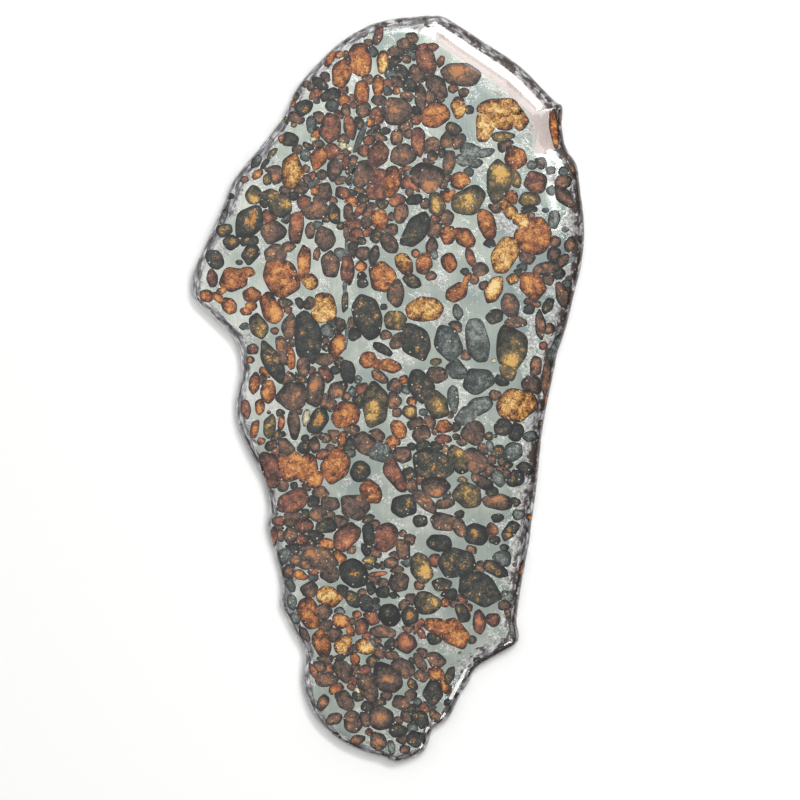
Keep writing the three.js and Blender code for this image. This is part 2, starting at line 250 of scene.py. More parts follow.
def plate_rings():
    """Each ring of the plate as a list of places in millimetres, from the back to the polished face."""
    count = len(rim)
    rng = random.Random(ROUGH_SEED)
    rough = [rng.uniform(0, 1) for _ in rim]
    rough = [sum(rough[(i + k) % count] for k in (-1, 0, 1)) / 3 for i in range(count)]

    def ring(insets, heights):
        """The rim drawn in by these insets, at these heights."""
        places = []
        for (place, _, _), inset, height in zip(rim, insets, heights):
            moved = place + (spine_at(place.y) - place).normalized() * inset + SHIFT
            places.append((moved.x, moved.y, height))
        return places

    corner = BASE_CORNER * BASE_EASE
    rings = [ring([BASE_EASE] * count, [0.0] * count), ring([corner] * count, [corner] * count)]
    for rise, lean_share in WALL_RINGS:
        turned = [rough[(i * ROUGH_STRIDE + int(rise * ROUGH_TURN)) % count] for i in range(count)]
        leans = [WALL_SET_BACK + lean * lean_share for _, lean, _ in rim]
        insets = [lean + WALL_ROUGHNESS * r for lean, r in zip(leans, turned)]
        heights = [BASE_EASE + (THICKNESS - EASE_SLOPE * margin - BASE_EASE) * rise for _, _, margin in rim]
        rings.append(ring(insets, heights))
    start = WALL_ROUGHNESS / 2
    for share in MARGIN_RINGS:
        out = 1 - share
        drop = CREASE_SHARE * out + (1 - CREASE_SHARE) * out * out
        insets = [lean + start + (margin - start) * share for _, lean, margin in rim]
        heights = [THICKNESS - EASE_SLOPE * margin * drop for _, _, margin in rim]
        rings.append(ring(insets, heights))
    return rings


def next_ring(body, edges):
    """Extrudes a ring of open edges, and gives the new ring's vertices and edges."""
    grown = bmesh.ops.extrude_edge_only(body, edges=edges)["geom"]
    verts = {g for g in grown if isinstance(g, bmesh.types.BMVert)}
    return verts, [g for g in grown if isinstance(g, bmesh.types.BMEdge) and set(g.verts) <= verts]


def loft(rings):
    """A closed body through rings of places, from the lowest up, with a cap on each end."""
    body = bmesh.new()
    number = body.verts.layers.int.new("number")
    verts = [body.verts.new(place) for place in rings[0]]
    for i, vert in enumerate(verts):
        vert[number] = i
    edges = [body.edges.new((vert, verts[(i + 1) % len(verts)])) for i, vert in enumerate(verts)]
    bmesh.ops.contextual_create(body, geom=edges)
    for places in rings[1:]:
        verts, edges = next_ring(body, edges)
        for vert in verts:
            vert.co = places[vert[number]]
    bmesh.ops.contextual_create(body, geom=edges)
    bmesh.ops.recalc_face_normals(body, faces=body.faces)
    return body


plate = loft(plate_rings())
plate_surface = BVHTree.FromBMesh(plate)


# The olivine crystals. The saw cut straight through them, so each shows on both faces. They are glassy,
# cracked inside and clouded, amber where fresh and nearly black where weathered, with a thin dark skin
# against the metal. The larger ones stand for the solids of the same number.
# Each grain: tint, then centre, long and short diameter in millimetres, and tilt from +X in degrees.
LARGE_CRYSTALS = {
    1: [("amber", -7.7, 88.7, 9.4, 7.2, 85), ("amber", -12.3, 85.2, 8, 5.6, 65)],
    2: [("umber", 19.6, 85, 10.4, 6.6, -12)],
    3: [
        ("amber", -2.7, 81.8, 6.4, 3.4, 85), ("umber", -2.2, 77.8, 5, 3.4, -10),
        ("umber", 2.2, 74.9, 8.8, 8.2, 30),
    ],
    4: [("honey", 30.4, 74.4, 13, 9, 5), ("honey", 26.4, 71.2, 9.4, 5.6, 80), ("honey", 35, 73, 7, 5, -45)],
    5: [("amber", 12.4, 73.8, 8.2, 6.6, 15), ("russet", 7.6, 72.6, 3.4, 2.8, 0)],
    6: [
        ("slate", 22.4, 64.2, 6.4, 4.8, -30), ("slate", 20, 61.8, 4, 3.6, 0),
        ("slate", 25.6, 63.6, 6, 2.8, 12), ("slate", 23.2, 61, 4.4, 3, 0),
    ],
    7: [("umber", 4.1, 63, 7.2, 6.6, 0), ("umber", 2.3, 67.7, 4.6, 3.6, 80)],
    8: [
        ("umber", -7.2, 57.9, 8.4, 6, 70), ("russet", -3, 62.8, 8, 5.6, 60),
        ("russet", -2.6, 57.2, 6, 4.6, 0), ("amber", 0.9, 55.8, 8.2, 6, 80),
        ("russet", -3.2, 53.4, 6.4, 6, 0),
    ],
    9: [("honey", -26, 58.8, 9.2, 6.4, 88)],
    10: [("umber", 10.4, 57.2, 9.4, 8.4, -20)],
    11: [("olive", 30, 56, 12.4, 7.2, 82), ("olive", 34.4, 56.6, 5.4, 3.2, -70)],
    12: [("olive", 21.8, 50.9, 9.4, 7.8, 30)],
    13: [("olive", -29.2, 49.6, 6.8, 6.2, -60), ("olive", -32, 52.4, 4.6, 3.4, 10)],
    14: [
        ("umber", -19.8, 48.2, 8, 5.6, 10), ("russet", -22.7, 50.4, 4.6, 3.8, 60),
        ("umber", -17.6, 52.6, 6.4, 5.2, 50),
    ],
    15: [("ink", -37.4, 44.9, 9.8, 7.2, 55)],
    16: [("ink", 7.4, 42.8, 11.2, 6, 58)],
    17: [
        ("amber", 16.2, 41.6, 5.4, 4.4, 75), ("amber", 20.8, 40.9, 7, 5, -45),
        ("russet", 22.3, 35.3, 6, 2.8, -75), ("umber", 24.8, 32.2, 4.6, 3.8, 0),
    ],
    18: [
        ("amber", 39.3, 41, 11, 9.2, 40), ("honey", 36.6, 44.6, 4, 3, 0),
        ("honey", 35.7, 45.8, 4.6, 3, 20), ("honey", 32.7, 48.3, 6.4, 3.8, -55),
    ],
    19: [("honey", 31.8, 36.2, 10.8, 7, 65)],
    20: [("honey", 4.3, 33.9, 6.6, 5, -60)],
    21: [("amber", -22.6, 34.4, 9.6, 4, 85), ("honey", -21.1, 28.9, 4.6, 4.6, 0)],
    22: [("amber", -28.8, 30, 11.4, 9, -55), ("umber", -30.4, 36.4, 6.6, 5.6, 0)],
    23: [("amber", -1.7, 30, 8.6, 7, -60)],
    24: [("amber", -41.4, 29.6, 8.2, 6.6, 10), ("amber", -38, 31.4, 4, 3, 0)],
    25: [("amber", 38.8, 27.8, 8.6, 6.8, -50)],
    26: [("amber", 18.5, 26, 6.8, 4.8, 35), ("amber", 21.3, 29.6, 4, 2, 55)],
    27: [("honey", -17.4, 21.8, 9, 6.8, -70), ("umber", -21, 23, 4.2, 3.8, 0)],
    28: [("honey", 9.9, 21.5, 9.8, 7.6, 5)],
    29: [("ink", -5.9, 19.7, 13.2, 8.2, -78)],
    30: [("ink", -22, 13.9, 13.4, 7.6, -78)],
    31: [("slate", 24, 13.2, 12.2, 6.8, -70)],
    32: [("slate", 16.3, 12.3, 9.6, 7.2, -72)],
    33: [("ink", 7.6, 12.3, 10.8, 7.6, -60), ("umber", 2.6, 13, 5.2, 3.8, 45)],
    34: [("olive", 33.5, 11, 13, 8.2, -85), ("olive", 32.4, 4.6, 5, 4.4, -60)],
    35: [
        ("amber", -5.2, 7.7, 5, 4.8, 0), ("amber", 0.4, 6.2, 6.8, 3.8, -12),
        ("amber", -2.6, 6.6, 4.4, 3, 0),
    ],
    36: [("slate", 24.2, 2.2, 8.4, 7.2, 0)],
    37: [("ink", 9, 0.6, 9.6, 6.8, -70), ("olive", 13.2, -4.4, 8.2, 6.2, -70)],
    38: [("umber", -25.9, -2, 8.8, 7.2, 30), ("umber", -19.8, 0, 10, 5, 85)],
    39: [("honey", 34.8, -4.6, 11, 9.6, 20)],
    40: [("olive", -3.4, -4.5, 11.8, 7.8, -88)],
    41: [("amber", -11.3, -7, 8.2, 7.2, 20)],
    42: [
        ("slate", 24.4, -4.8, 8.2, 5.2, 30), ("slate", 21, -7.2, 6.4, 4.6, 30),
        ("umber", 22.9, -11.9, 7, 6, -60),
    ],
    43: [
        ("umber", -6.2, -14.7, 7.8, 5.6, -40), ("slate", -2.3, -17, 7, 6, -20),
        ("russet", 1.7, -23, 10.4, 5, -65),
    ],
    44: [
        ("amber", -26, -21, 9, 8.8, 0), ("amber", -21.9, -21.6, 8, 6.6, -80),
        ("russet", -31.6, -21.2, 9, 6, -65), ("umber", -27.6, -16, 6, 4, -60),
        ("amber", -19.8, -24.4, 5.4, 5, 20), ("amber", -14.2, -20.8, 9.6, 7.6, 75),
    ],
    45: [
        ("ink", 12, -20.4, 11.4, 9, -10), ("umber", 12.8, -26.4, 8.2, 6.4, 10),
        ("olive", 18.8, -19.2, 8.2, 5.4, -60), ("umber", 23.3, -19.2, 8, 6.4, -30),
    ],
    46: [("olive", 21.5, -28.8, 7.8, 7.2, 0)],
    47: [("russet", -25.7, -30.4, 9.2, 6.8, 15)],
    48: [
        ("umber", -15.6, -31, 5, 4, 0), ("umber", -9, -31.8, 8.8, 7.2, 0),
        ("amber", -4.6, -27.6, 7.6, 5.8, -60),
    ],
    49: [("umber", 15, -36, 8, 5.2, -10), ("umber", 19, -37.2, 6.6, 3.8, -50)],
    50: [("russet", -0.6, -40.2, 8.2, 6.4, 80), ("ink", -5.2, -39.4, 7, 4, -85)],
    51: [("russet", -11.3, -40.2, 9.2, 6, 50)],
    52: [("umber", -18.6, -45.6, 10, 6.6, -15), ("umber", -15.6, -50, 5.6, 5.2, 0)],
    53: [("ink", 18.9, -47, 10.2, 8.6, 15)],
    54: [("ink", -9.4, -49.8, 8.8, 7.2, -40)],
    55: [("ink", 24.6, -54.5, 12.6, 8.4, -30)],
    56: [("amber", -21.4, -60.6, 9.2, 5.8, -65), ("umber", -17.6, -60.4, 5, 4.6, 0)],
    57: [("amber", 13.2, -64.2, 7.2, 5, -20), ("amber", 18, -66.2, 9.6, 7, -50)],
    58: [("umber", 0, -78.2, 9.6, 7.6, -65)],
    59: [("umber", -5.4, -80.4, 10.2, 5.2, -72), ("russet", -6.2, -76, 3.6, 3, 0)],
}
# The small crystals, by tint: centre, long and short diameter, and tilt, as above.
SMALL_CRYSTALS = {
    "honey": [
        (-1.5, 88.1, 6.4, 3.6, 85), (19, 76, 6, 4.5, 90), (28.4, 26.8, 8, 4.8, 65),
        (33.6, 29.6, 3.4, 3.2, 0), (-15.9, -56.2, 7.8, 5.8, -20), (-12.2, -68.9, 5.6, 5, 60),
        (-6.3, -69.8, 5.4, 4.4, -20),
    ],
    "amber": [
        (-7, 79.8, 7, 4.5, 85), (-15.8, 88.8, 5, 2.2, 60), (-13.2, 90.2, 3, 2.2, 0),
        (-25.6, 77, 2.5, 1.5, 80), (-18.9, 62.3, 6.2, 4.6, 80), (-28.8, 67.5, 2.5, 2, 90),
        (-35.3, 57.9, 4, 2.2, 40), (34.4, 62.6, 6.5, 6, 120), (19.3, 56.2, 5.3, 5, 0),
        (44.8, 70.5, 12.5, 2.4, 97), (-49.1, 25, 4, 3.6, 0), (-45.8, 24.5, 4, 2.2, -40),
        (-45, 26.3, 3, 2, 20), (-43.1, 22.4, 5.2, 4, 120), (-36.9, 25.4, 4.9, 4.4, 0),
        (-37, 22.2, 3.4, 3, 0), (-38.3, 20.9, 3.2, 2.4, 0), (-31.6, 21.6, 9.5, 5.5, 120),
        (-19.5, 53.6, 3.4, 3, 30), (-13.7, 11.6, 7.5, 4.6, 70), (-26.3, 8.3, 7, 2.5, 95),
        (-37.2, 7.8, 2.5, 2, 0), (-2.2, 45.6, 6.6, 5, 90), (9.8, 33.9, 6.5, 4.5, 75),
        (16.3, 34.1, 5.4, 4.6, 110), (-36, 1.6, 6.3, 3.3, 85), (-32.4, -0.6, 6.3, 4.5, 85),
        (-34.6, -4.9, 4.6, 3, 85), (-36, -10.9, 5.6, 2.4, 80), (-12.4, -13.6, 4.7, 2.6, 75),
        (2.7, -11, 6, 4.2, 110), (4.2, 2.4, 3, 2.6, 0), (15.2, -10.2, 4.7, 4, 0), (42.7, -2.8, 2, 1.2, 80),
        (38.3, -34.8, 1.5, 1.3, 0), (-23.6, -50.3, 4.5, 2.6, -20), (-12.8, -62.7, 4.9, 4.2, -10),
        (-10.2, -65.4, 3.8, 2.4, -70), (-18, -68.9, 7.6, 5.2, -75), (-8.9, -73.1, 3.8, 2.8, -80),
        (26.6, 44.6, 9, 5, 110), (-28.9, -9.3, 5, 1.8, 80),
    ],
    "russet": [
        (-2.6, 95.3, 5.2, 2.8, 75), (10.2, 89, 9, 5.2, 100), (11.8, 92.2, 3.5, 2.4, 0),
        (-15.7, 70.3, 8, 6, 90), (-10.2, 70.4, 6.5, 3.5, 105), (-38.8, 56.5, 2.5, 2, 0),
        (-11.5, 61, 5, 2.3, 75), (4.2, 59.2, 4.5, 1.6, 15), (8.1, 66.6, 8, 4.4, 92),
        (14.2, 88.3, 3.5, 2, 70), (39.7, 55.7, 6.3, 6, -20), (-47.5, 29.8, 5.5, 3.2, 95),
        (-24.8, 43.4, 9.5, 4.4, 85), (-12.4, 52.8, 4.2, 3.8, 0), (-7.6, 48.2, 6, 2.5, 50),
        (-11, 32.2, 8.5, 4, 92), (-36.6, 10.6, 3.4, 3, 0), (-38.5, -5.5, 5.5, 2.8, 100),
        (-31, -25.5, 4, 3, 0), (-22.8, -36.8, 5.2, 4.6, 0), (-29.5, -35.8, 4, 3, 0),
        (-30.9, -40, 5.3, 2.2, 85), (-20, -49.3, 3.4, 2, 0), (-3, -50, 5, 1.6, 5),
        (14.9, -13.6, 4.6, 2.6, 5), (28, -38.2, 4.2, 3.8, 0), (24.6, -62.9, 7, 4, -85),
        (5, -68.6, 6.2, 6, 0), (9, -66.2, 3.4, 2.2, -60), (-7.2, -64.3, 4.8, 4.2, 90),
        (-19.9, -76.6, 5.5, 2, -60), (-9.4, -78.6, 3.4, 2, -60), (36.2, -48.5, 4.5, 1.6, 80),
        (34.2, -47.6, 1.4, 1.2, 0), (-20.5, 57.5, 3, 2.2, 40), (-5.6, 42.2, 3.2, 2.4, 40),
    ],
    "umber": [
        (4.3, 93, 4.5, 3.5, 0), (-6.6, 75.4, 4.5, 4, 90), (-22.3, 82.3, 2.5, 1.5, 60),
        (-25, 78.9, 2.5, 2, 60), (-11.4, 75.2, 3.5, 2.7, 90), (-21.8, 56.8, 2.5, 2.2, 0),
        (-14.4, 59.2, 6.5, 4.5, 70), (-12.9, 56.2, 3.5, 2.5, 20), (8.8, 78.6, 6.8, 3.5, 95),
        (13.1, 81.8, 7.8, 5, 125), (15.9, 67, 5, 3.5, 80), (12, 62.8, 3.3, 3, 0), (16.4, 61.2, 7, 3.6, 85),
        (46.5, 73.5, 4.5, 1.2, 90), (49.5, 60.5, 6, 1.8, 110), (47.3, 55.8, 5, 4, 0),
        (47.5, 51.9, 7.5, 4, -45), (-31, 42.4, 7.3, 6.3, 10), (-27, 38.3, 4, 3, 0),
        (-10.7, 47.4, 4.8, 3.2, 90), (-21, 42.6, 5, 3, 90), (-17.1, 40.6, 6.8, 5.8, 80),
        (-15.6, 33.6, 7.2, 5, 95), (-19.3, 36.4, 4, 2, 80), (-11.3, 42.3, 5, 1.8, 95),
        (-26.8, 16.8, 7.5, 4, 80), (-12.9, 17.2, 4.3, 3.2, 90), (-28.3, 10.2, 8.5, 4, 105),
        (-17, 7.9, 5.5, 4, 0), (3.4, 47.2, 6, 4.3, 80), (11.8, 38.6, 5, 3.5, 85), (0.4, 39.3, 6, 4.8, 120),
        (1.8, 26, 7.5, 5, 100), (34.5, 18, 6, 3.5, 0), (32.9, 22.4, 7.5, 5.5, 95),
        (41.1, 17.3, 8.5, 3, 95), (47, 25.5, 7.5, 3.5, 110), (43, 32.5, 8, 4, 15), (47, 34.5, 4.5, 3, 45),
        (49, 39, 5, 3, 70), (-23, 6, 6, 4, 90), (-25.4, -9.5, 8.5, 3.5, 95), (-20, -15.2, 5, 3, 105),
        (-2.2, 3.2, 5, 3.2, -35), (-13.6, -0.2, 6, 4.8, 30), (-18.8, -33.8, 5, 4.8, 0),
        (-26.4, -39.8, 5.2, 3.8, 80), (4.1, -43.4, 5.7, 4, 110), (2.4, -6.4, 3, 2.8, 0),
        (3.9, -17.8, 5.6, 5.2, 0), (13.3, 3.7, 6.2, 4.4, 170), (8.8, -12.2, 5.4, 4.6, 30),
        (25.5, -25.2, 7, 3.8, -35), (29.8, -30.5, 8.5, 4.4, -5), (9.8, -30.2, 9.5, 3.5, -45),
        (15.2, -31, 5.5, 3.2, 15), (6.6, -26.2, 4.5, 3, 95), (42.8, 3.5, 12, 2.6, 83),
        (39.9, 6, 6, 3.5, 80), (-21.5, -42.6, 5.5, 2.6, 20), (-22.3, -47.3, 4.5, 3.4, 0),
        (0.8, -47, 4.5, 3.5, 0), (2.9, -52.3, 6.2, 5.2, -15), (-1.4, -65.7, 6.6, 3.8, -10),
        (-12, -76.3, 6.8, 5, -60), (-16.8, -78.6, 6.4, 4, -10), (4, -75.4, 7, 5, -35),
        (6, -82.8, 3.6, 3.2, 0), (3.3, -84.7, 4.8, 4.2, -30), (8.6, -74, 6, 3, -60),
        (12.8, -73.3, 5.6, 4, -30), (-2, -88.8, 7.4, 6.2, -40), (5, -88.6, 4.2, 2.8, -50),
        (-2.8, -95.2, 5.4, 4.4, -70), (12.8, -88.4, 4.4, 3, -50), (0.9, -72, 4, 2.6, -10),
        (-11.8, -84.2, 6.4, 4.6, -45), (-9.6, -90, 6, 5, -60), (-14.6, -89.2, 4.4, 3.4, 30),
        (-17.6, -84.6, 4.8, 3.2, 70), (-24.7, -46.5, 4.4, 3.6, 0), (30.6, -19.6, 3, 2, 60),
        (-22.6, -66.2, 5, 2.4, -60), (-8.2, -94.8, 4.2, 2.6, 20),
    ],
    "olive": [
        (-31.3, 63.6, 4, 1.7, 50), (-32.6, 56.4, 3.3, 2.4, 90), (31, 68, 6, 3, 0),
        (-36.3, 52.2, 5.5, 4.3, 90), (-34.9, 16.8, 7.5, 4.8, 110), (13, 50, 7, 4.8, 95), (38, 51, 6, 4, 0),
        (2.1, 18.4, 6.4, 6, 0), (-32, -10.2, 6.6, 3.8, 85), (12.8, 7.2, 3.5, 2.2, 0),
        (8.9, -48.6, 8.8, 6.2, 110), (-5, -46.2, 4, 2.4, 0), (10.3, -57.8, 7.6, 6.2, -5),
        (5.9, -6.3, 4.5, 4, 150), (20, -24.6, 3, 2, 0),
    ],
    "ink": [
        (6.6, 92.2, 3, 2, 0), (-18.3, 82.4, 5.5, 3, 150), (-22.8, 76, 5, 4.4, 50),
        (-27.5, 72.4, 2.3, 1.2, 100), (-25.5, 71.3, 1.8, 1.8, 0), (-26.6, 67.3, 5, 4.3, 0),
        (-21.6, 65.4, 3.5, 2, 150), (-33.3, 60.7, 4, 1.5, 55), (-0.9, 69.6, 3.4, 2.2, 10),
        (-10.3, 56.3, 3.2, 2.3, 70), (17.6, 70, 4.5, 3.8, -30), (43.8, 59, 3, 2.5, 0),
        (-42.6, 52, 2.3, 2, 0), (-37.2, 36.4, 6, 4.6, 60), (-40.2, 34.1, 2, 1.5, 0),
        (-46.9, 34.8, 6, 4.7, 110), (-14.7, 47.2, 5.6, 4, 110), (-11.7, 23.5, 6.5, 2, 88),
        (-6.9, 28.5, 3, 2.8, 0), (-23.9, 23.1, 3.8, 2.3, 120), (-31.2, 7.2, 12, 5, 118),
        (-14.3, 5, 3.2, 2.6, 0), (-10.9, 4.8, 6.8, 4.2, 100), (7.2, 50.9, 4.6, 3, 15),
        (15.8, 53.6, 1.8, 1.3, 0), (27.5, 39.2, 3.5, 2.4, 0), (20.7, 31.6, 2.6, 2.2, 0),
        (-3.8, 35.8, 6, 3, 75), (6.5, 29.1, 5.2, 3.5, -25), (-1.2, 22.1, 2.2, 2, 0),
        (-1.5, 10.7, 6.5, 2.8, -30), (43.2, 22.5, 5, 3, 60), (-32.2, -6.4, 1.2, 1.2, 0),
        (-18.8, -8.6, 8, 5, 60), (-18, -13.2, 1.6, 1.3, 0), (-22.4, -13.4, 2.6, 2, 0),
        (-16.8, -37, 6, 4.6, 0), (4.4, -31.6, 7.2, 6.7, 0), (18.4, -13, 2.4, 1.8, 0),
        (28.1, -27.9, 3.8, 3, 0), (34.2, -30.6, 3, 2.6, 0), (29.6, -34.9, 3.7, 2.7, 0),
        (8.7, -35.7, 4.2, 3.8, 0), (23.8, -39.4, 7, 6.5, 0), (28.8, -41, 3.2, 2.4, 0),
        (33, -38.4, 6.5, 3.6, 55), (-6, -43.6, 4.2, 2.4, 110), (-3, -47.8, 2, 1.8, 0),
        (-4.6, -54, 3.8, 2.8, 90), (-1.4, -54.9, 4, 3.6, 0), (1.6, -55.8, 3, 1.8, -10),
        (13.8, -41.6, 6.5, 4.7, -15), (14.5, -52.8, 5.2, 4, 0), (28.8, -48.6, 8, 4, -30),
        (31.4, -42.9, 2.4, 2, 0), (-9.5, -56.8, 5, 3.8, -50), (-6.1, -57.8, 5.5, 4, -70),
        (0.1, -61.2, 6.6, 5.8, -50), (6.1, -61.3, 5.6, 4.9, 80), (20, -60.5, 6.4, 3.6, -60),
        (32.3, -60.7, 2.8, 1.8, -60), (24.2, -73.2, 2.6, 1.6, 0), (30.5, -69.4, 2, 1.4, 20),
        (6.6, -79.8, 3.6, 2.6, -70), (12, -82, 6.6, 5.6, 80), (16.6, -77.5, 5, 2.8, 70),
        (2.8, -92.4, 5, 4, 10), (7.4, -94.6, 5.6, 4.4, -10), (-13.2, -72.6, 3.4, 2, 10),
        (-14.2, -94, 3.4, 2.4, -40), (41.2, -9.4, 2.2, 1.4, 70), (16, -84.6, 2.4, 1.8, 60),
    ],
    "slate": [
        (-19.3, 77.6, 2, 1.6, 0), (-20.8, 71.5, 5, 3.2, 90), (-35.6, 61.3, 4.5, 2.4, 50),
        (-7.5, 67.8, 9, 1.8, 68), (38.8, 60.4, 3, 2.8, 0), (-44.5, 46.5, 5, 1.8, 70),
        (-38.8, 16.8, 3, 2.2, 0), (12.4, 36.4, 3.4, 2.4, 100), (18.8, 20.7, 4.5, 3, 100),
        (44.8, 45.8, 5.3, 3.4, 80), (47.8, 43, 2.2, 1.6, 0), (42.5, 48.2, 2, 1.5, 0),
        (45, 10.6, 10, 2.6, 68), (-9.6, -0.8, 3.4, 2.2, 90), (18.5, 5.2, 6.3, 5.4, 120),
        (17.6, -2.8, 7.3, 3.6, 95), (28.8, -12.8, 1.8, 1.2, 0), (27.5, -15.6, 3.4, 2.2, 100),
        (33.8, -17, 6, 5.2, 30), (38.4, -13, 4.3, 3.2, 0), (29.8, -24.2, 5.3, 3.8, 120),
        (-28, -45.2, 4.6, 3.6, 60), (-26.4, -53, 4, 2.6, -70), (-26, -57.8, 4.6, 3, -80),
        (-25, -62, 3.6, 2.4, -60), (-4.1, -68.6, 3.5, 1.3, -60), (7.9, -84.8, 3, 2.2, 60),
        (0.9, -96.8, 4.5, 2.2, -80), (-11.2, 14.5, 9, 1.1, 84), (-11.2, 39.2, 9, 1, 87),
        (-11.7, 27.4, 5, 1.2, 90), (-9.4, 57.6, 8, 1, 76),
    ],
    "pale": [
        (-12.4, 65.6, 2.6, 2.2, 0), (-10.2, 64.8, 1.8, 1.3, 0), (-20.2, 67.3, 2, 1.2, 0),
        (28.6, 7.6, 1.6, 1.3, 0), (-22.2, -7.9, 4.6, 2.3, 80), (4.7, -21, 1.5, 1.1, 0),
        (-8.3, -81.4, 2.2, 1.1, -45),
    ],
}
# A painted glow where light comes up through fresh glass inside a darker grain: centre, long and short
# diameter, tilt.
HEARTS = [
    (-22.4, 75.4, 2, 2, 0), (19.6, 86, 5.6, 3.8, -10), (11.8, 54.6, 5, 3, 10), (30.5, 58, 5.4, 4, 80),
    (-36.2, 50.9, 2.6, 2.4, 0), (-36.6, 46.2, 6.6, 3.6, 62), (-27.2, 50, 2.6, 3.4, 90),
    (-29.9, 20.4, 4.6, 3.4, 110), (-34, 16, 3.6, 2.6, 80), (33.2, 7.4, 5, 4, 90), (-20, 0.8, 4, 2, 85),
    (-24.8, -7.2, 2.4, 1.8, 90), (-18.8, -8.6, 4.6, 2.4, 60), (-19.5, -15.6, 2, 1.4, 0),
    (-13.2, -1.2, 2.8, 2.2, 0), (-4.2, -6, 5, 3.4, 90), (13.3, -4.4, 4, 2.4, 110),
    (5.9, -6.2, 2.6, 2.2, 0), (13, -28, 2.8, 1.8, 10), (19.2, -17.2, 2.2, 2, 0), (23.4, -24, 2.4, 1.8, 0),
    (29.6, -29.7, 3, 2, 0), (23.5, -38.5, 1.9, 2.4, 0), (-8.6, -49.8, 3.2, 2.4, 0),
    (10, -49.5, 4.6, 3.4, 90), (12.6, -57.4, 2.2, 2.6, 0), (6, -61.5, 2.2, 2.6, 0), (-0.2, -60, 1.2, 1, 0),
    (-12.9, -62.4, 3, 2.4, 0), (4.6, -68.4, 3, 4, 0), (0.2, -78.4, 3, 1.8, 0), (-2, -89, 3.4, 2.8, 0),
    (13, 49.2, 3, 2, 90), (-37, 37, 2.6, 2, 60), (-10.9, -41.2, 4, 2.6, 50), (-23.9, 33.4, 4, 2.4, 80),
    (28.3, 27.2, 5, 2.8, 65), (21.4, 50.6, 4.4, 3.4, 30), (24.4, -62.8, 2.6, 1.6, 90),
    (-13.2, 11.6, 2.4, 3.2, 0),
]
# A grain's outline: an oval of many directions, cut by a few facets and made a little wavy.
DIRECTIONS = 32
GROWTH = 1.05
FULL_REACH = 1.07
FACETS = (5, 7)
FACET_SWING = 0.3
FACET_REACH = (0.8, 1.0)
WAVES = (2, 3, 5, 7)
WAVE_HEIGHT = 0.07
# Where grains meet: how close they must be to be tried, how exactly the meeting line is found, the gap left
# in it, and how clear of dark skin it is: between strangers, and between the parts of one crystal where
# their tints differ and where they are the same.
NEAR_SHARE = 1.1
HALVINGS = 10
SEAM = 0.998
TOUCHING_SKIN = 0.5
KIN_SKIN = 0.75
NO_SKIN = 1.0


def heading(angle):
    """The flat unit vector that points this way."""
    return Vector((math.cos(angle), math.sin(angle)))


class Grain:
    """One crystal: an ellipse with a few facets, cut back where a neighbour grew against it."""

    def __init__(self, tint, x, y, long, short, tilt):
        self.tint = tint
        self.family = None
        self.centre = Vector((x, y))
        self.half = (long / 2 * GROWTH, short / 2 * GROWTH)
        self.axis = heading(math.radians(tilt))
        rng = random.Random(f"{x} {y}")
        self.tone = rng.uniform(-1, 1)
        count = rng.randint(*FACETS)
        start = rng.uniform(0, math.tau)
        facets = []
        for i in range(count):
            facing = start + (i + rng.uniform(-FACET_SWING, FACET_SWING)) * math.tau / count
            facets.append((facing, rng.uniform(*FACET_REACH)))
        waves = [(k, rng.uniform(0, math.tau), rng.uniform(0, WAVE_HEIGHT) / k) for k in WAVES]
        reach = [FULL_REACH] * DIRECTIONS
        for i in range(DIRECTIONS):
            angle = i * math.tau / DIRECTIONS
            for facing, distance in facets:
                along = math.cos(angle - facing)
                if along > 0:
                    reach[i] = min(reach[i], distance / along)
            reach[i] *= 1 + sum(size * math.sin(k * angle + phase) for k, phase, size in waves)
        after = reach[1:] + reach[:1]
        self.reach = [(reach[i - 1] + 2 * reach[i] + after[i]) / 4 for i in range(DIRECTIONS)]
        self.outline = [self.at(self.reach[i], i) for i in range(DIRECTIONS)]
        # How clear of dark skin the outline is in each direction.
        self.bare = [0.0] * DIRECTIONS

    def at(self, reach, i):
        """The place in direction i at this share of the way out to the plain ellipse."""
        angle = i * math.tau / DIRECTIONS
        along = self.half[0] * reach * math.cos(angle)
        across = self.half[1] * reach * math.sin(angle)
        side = Vector((-self.axis.y, self.axis.x))
        return self.centre + self.axis * along + side * across

    def depth(self, place):
        """0 at the grain's centre and 1 on its own outline, before its neighbours cut it back."""
        dx, dy = place.x - self.centre.x, place.y - self.centre.y
        along = (dx * self.axis.x + dy * self.axis.y) / self.half[0]
        across = (dy * self.axis.x - dx * self.axis.y) / self.half[1]
        turn = math.atan2(across, along) / math.tau * DIRECTIONS
        i = math.floor(turn)
        reach = self.reach[i % DIRECTIONS] * (1 - turn + i) + self.reach[(i + 1) % DIRECTIONS] * (turn - i)
        return math.hypot(along, across) / reach

    def near(self, other):
        """Whether the other grain is close enough that the two may touch."""
        return (self.centre - other.centre).length < NEAR_SHARE * (self.half[0] + other.half[0])

    def cut_back(self, other, bare):
        """Draws the outline in to the face where both grains are equally deep."""
        for i, place in enumerate(self.outline):
            if other.depth(place) >= self.depth(place):
                continue
            inside, outside = 0.0, 1.0
            for _ in range(HALVINGS):
                middle = (inside + outside) / 2
                probe = self.centre.lerp(place, middle)
                if other.depth(probe) > self.depth(probe):
                    inside = middle
                else:
                    outside = middle
            self.outline[i] = self.centre.lerp(place, inside if bare > TOUCHING_SKIN else inside * SEAM)
            self.bare[i] = bare


large = {number: [Grain(*row) for row in rows] for number, rows in LARGE_CRYSTALS.items()}
small = {tint: [Grain(tint, *row) for row in rows] for tint, rows in SMALL_CRYSTALS.items()}
grains = [grain for group in (*large.values(), *small.values()) for grain in group]
for group in large.values():
    for grain in group:
        grain.family = group[0]
for grain in grains:
    for other in grains:
        if other is grain or not grain.near(other):
            continue
        kin = grain.family is not None and grain.family is other.family
        grain.cut_back(other, (NO_SKIN if grain.tint == other.tint else KIN_SKIN) if kin else TOUCHING_SKIN)

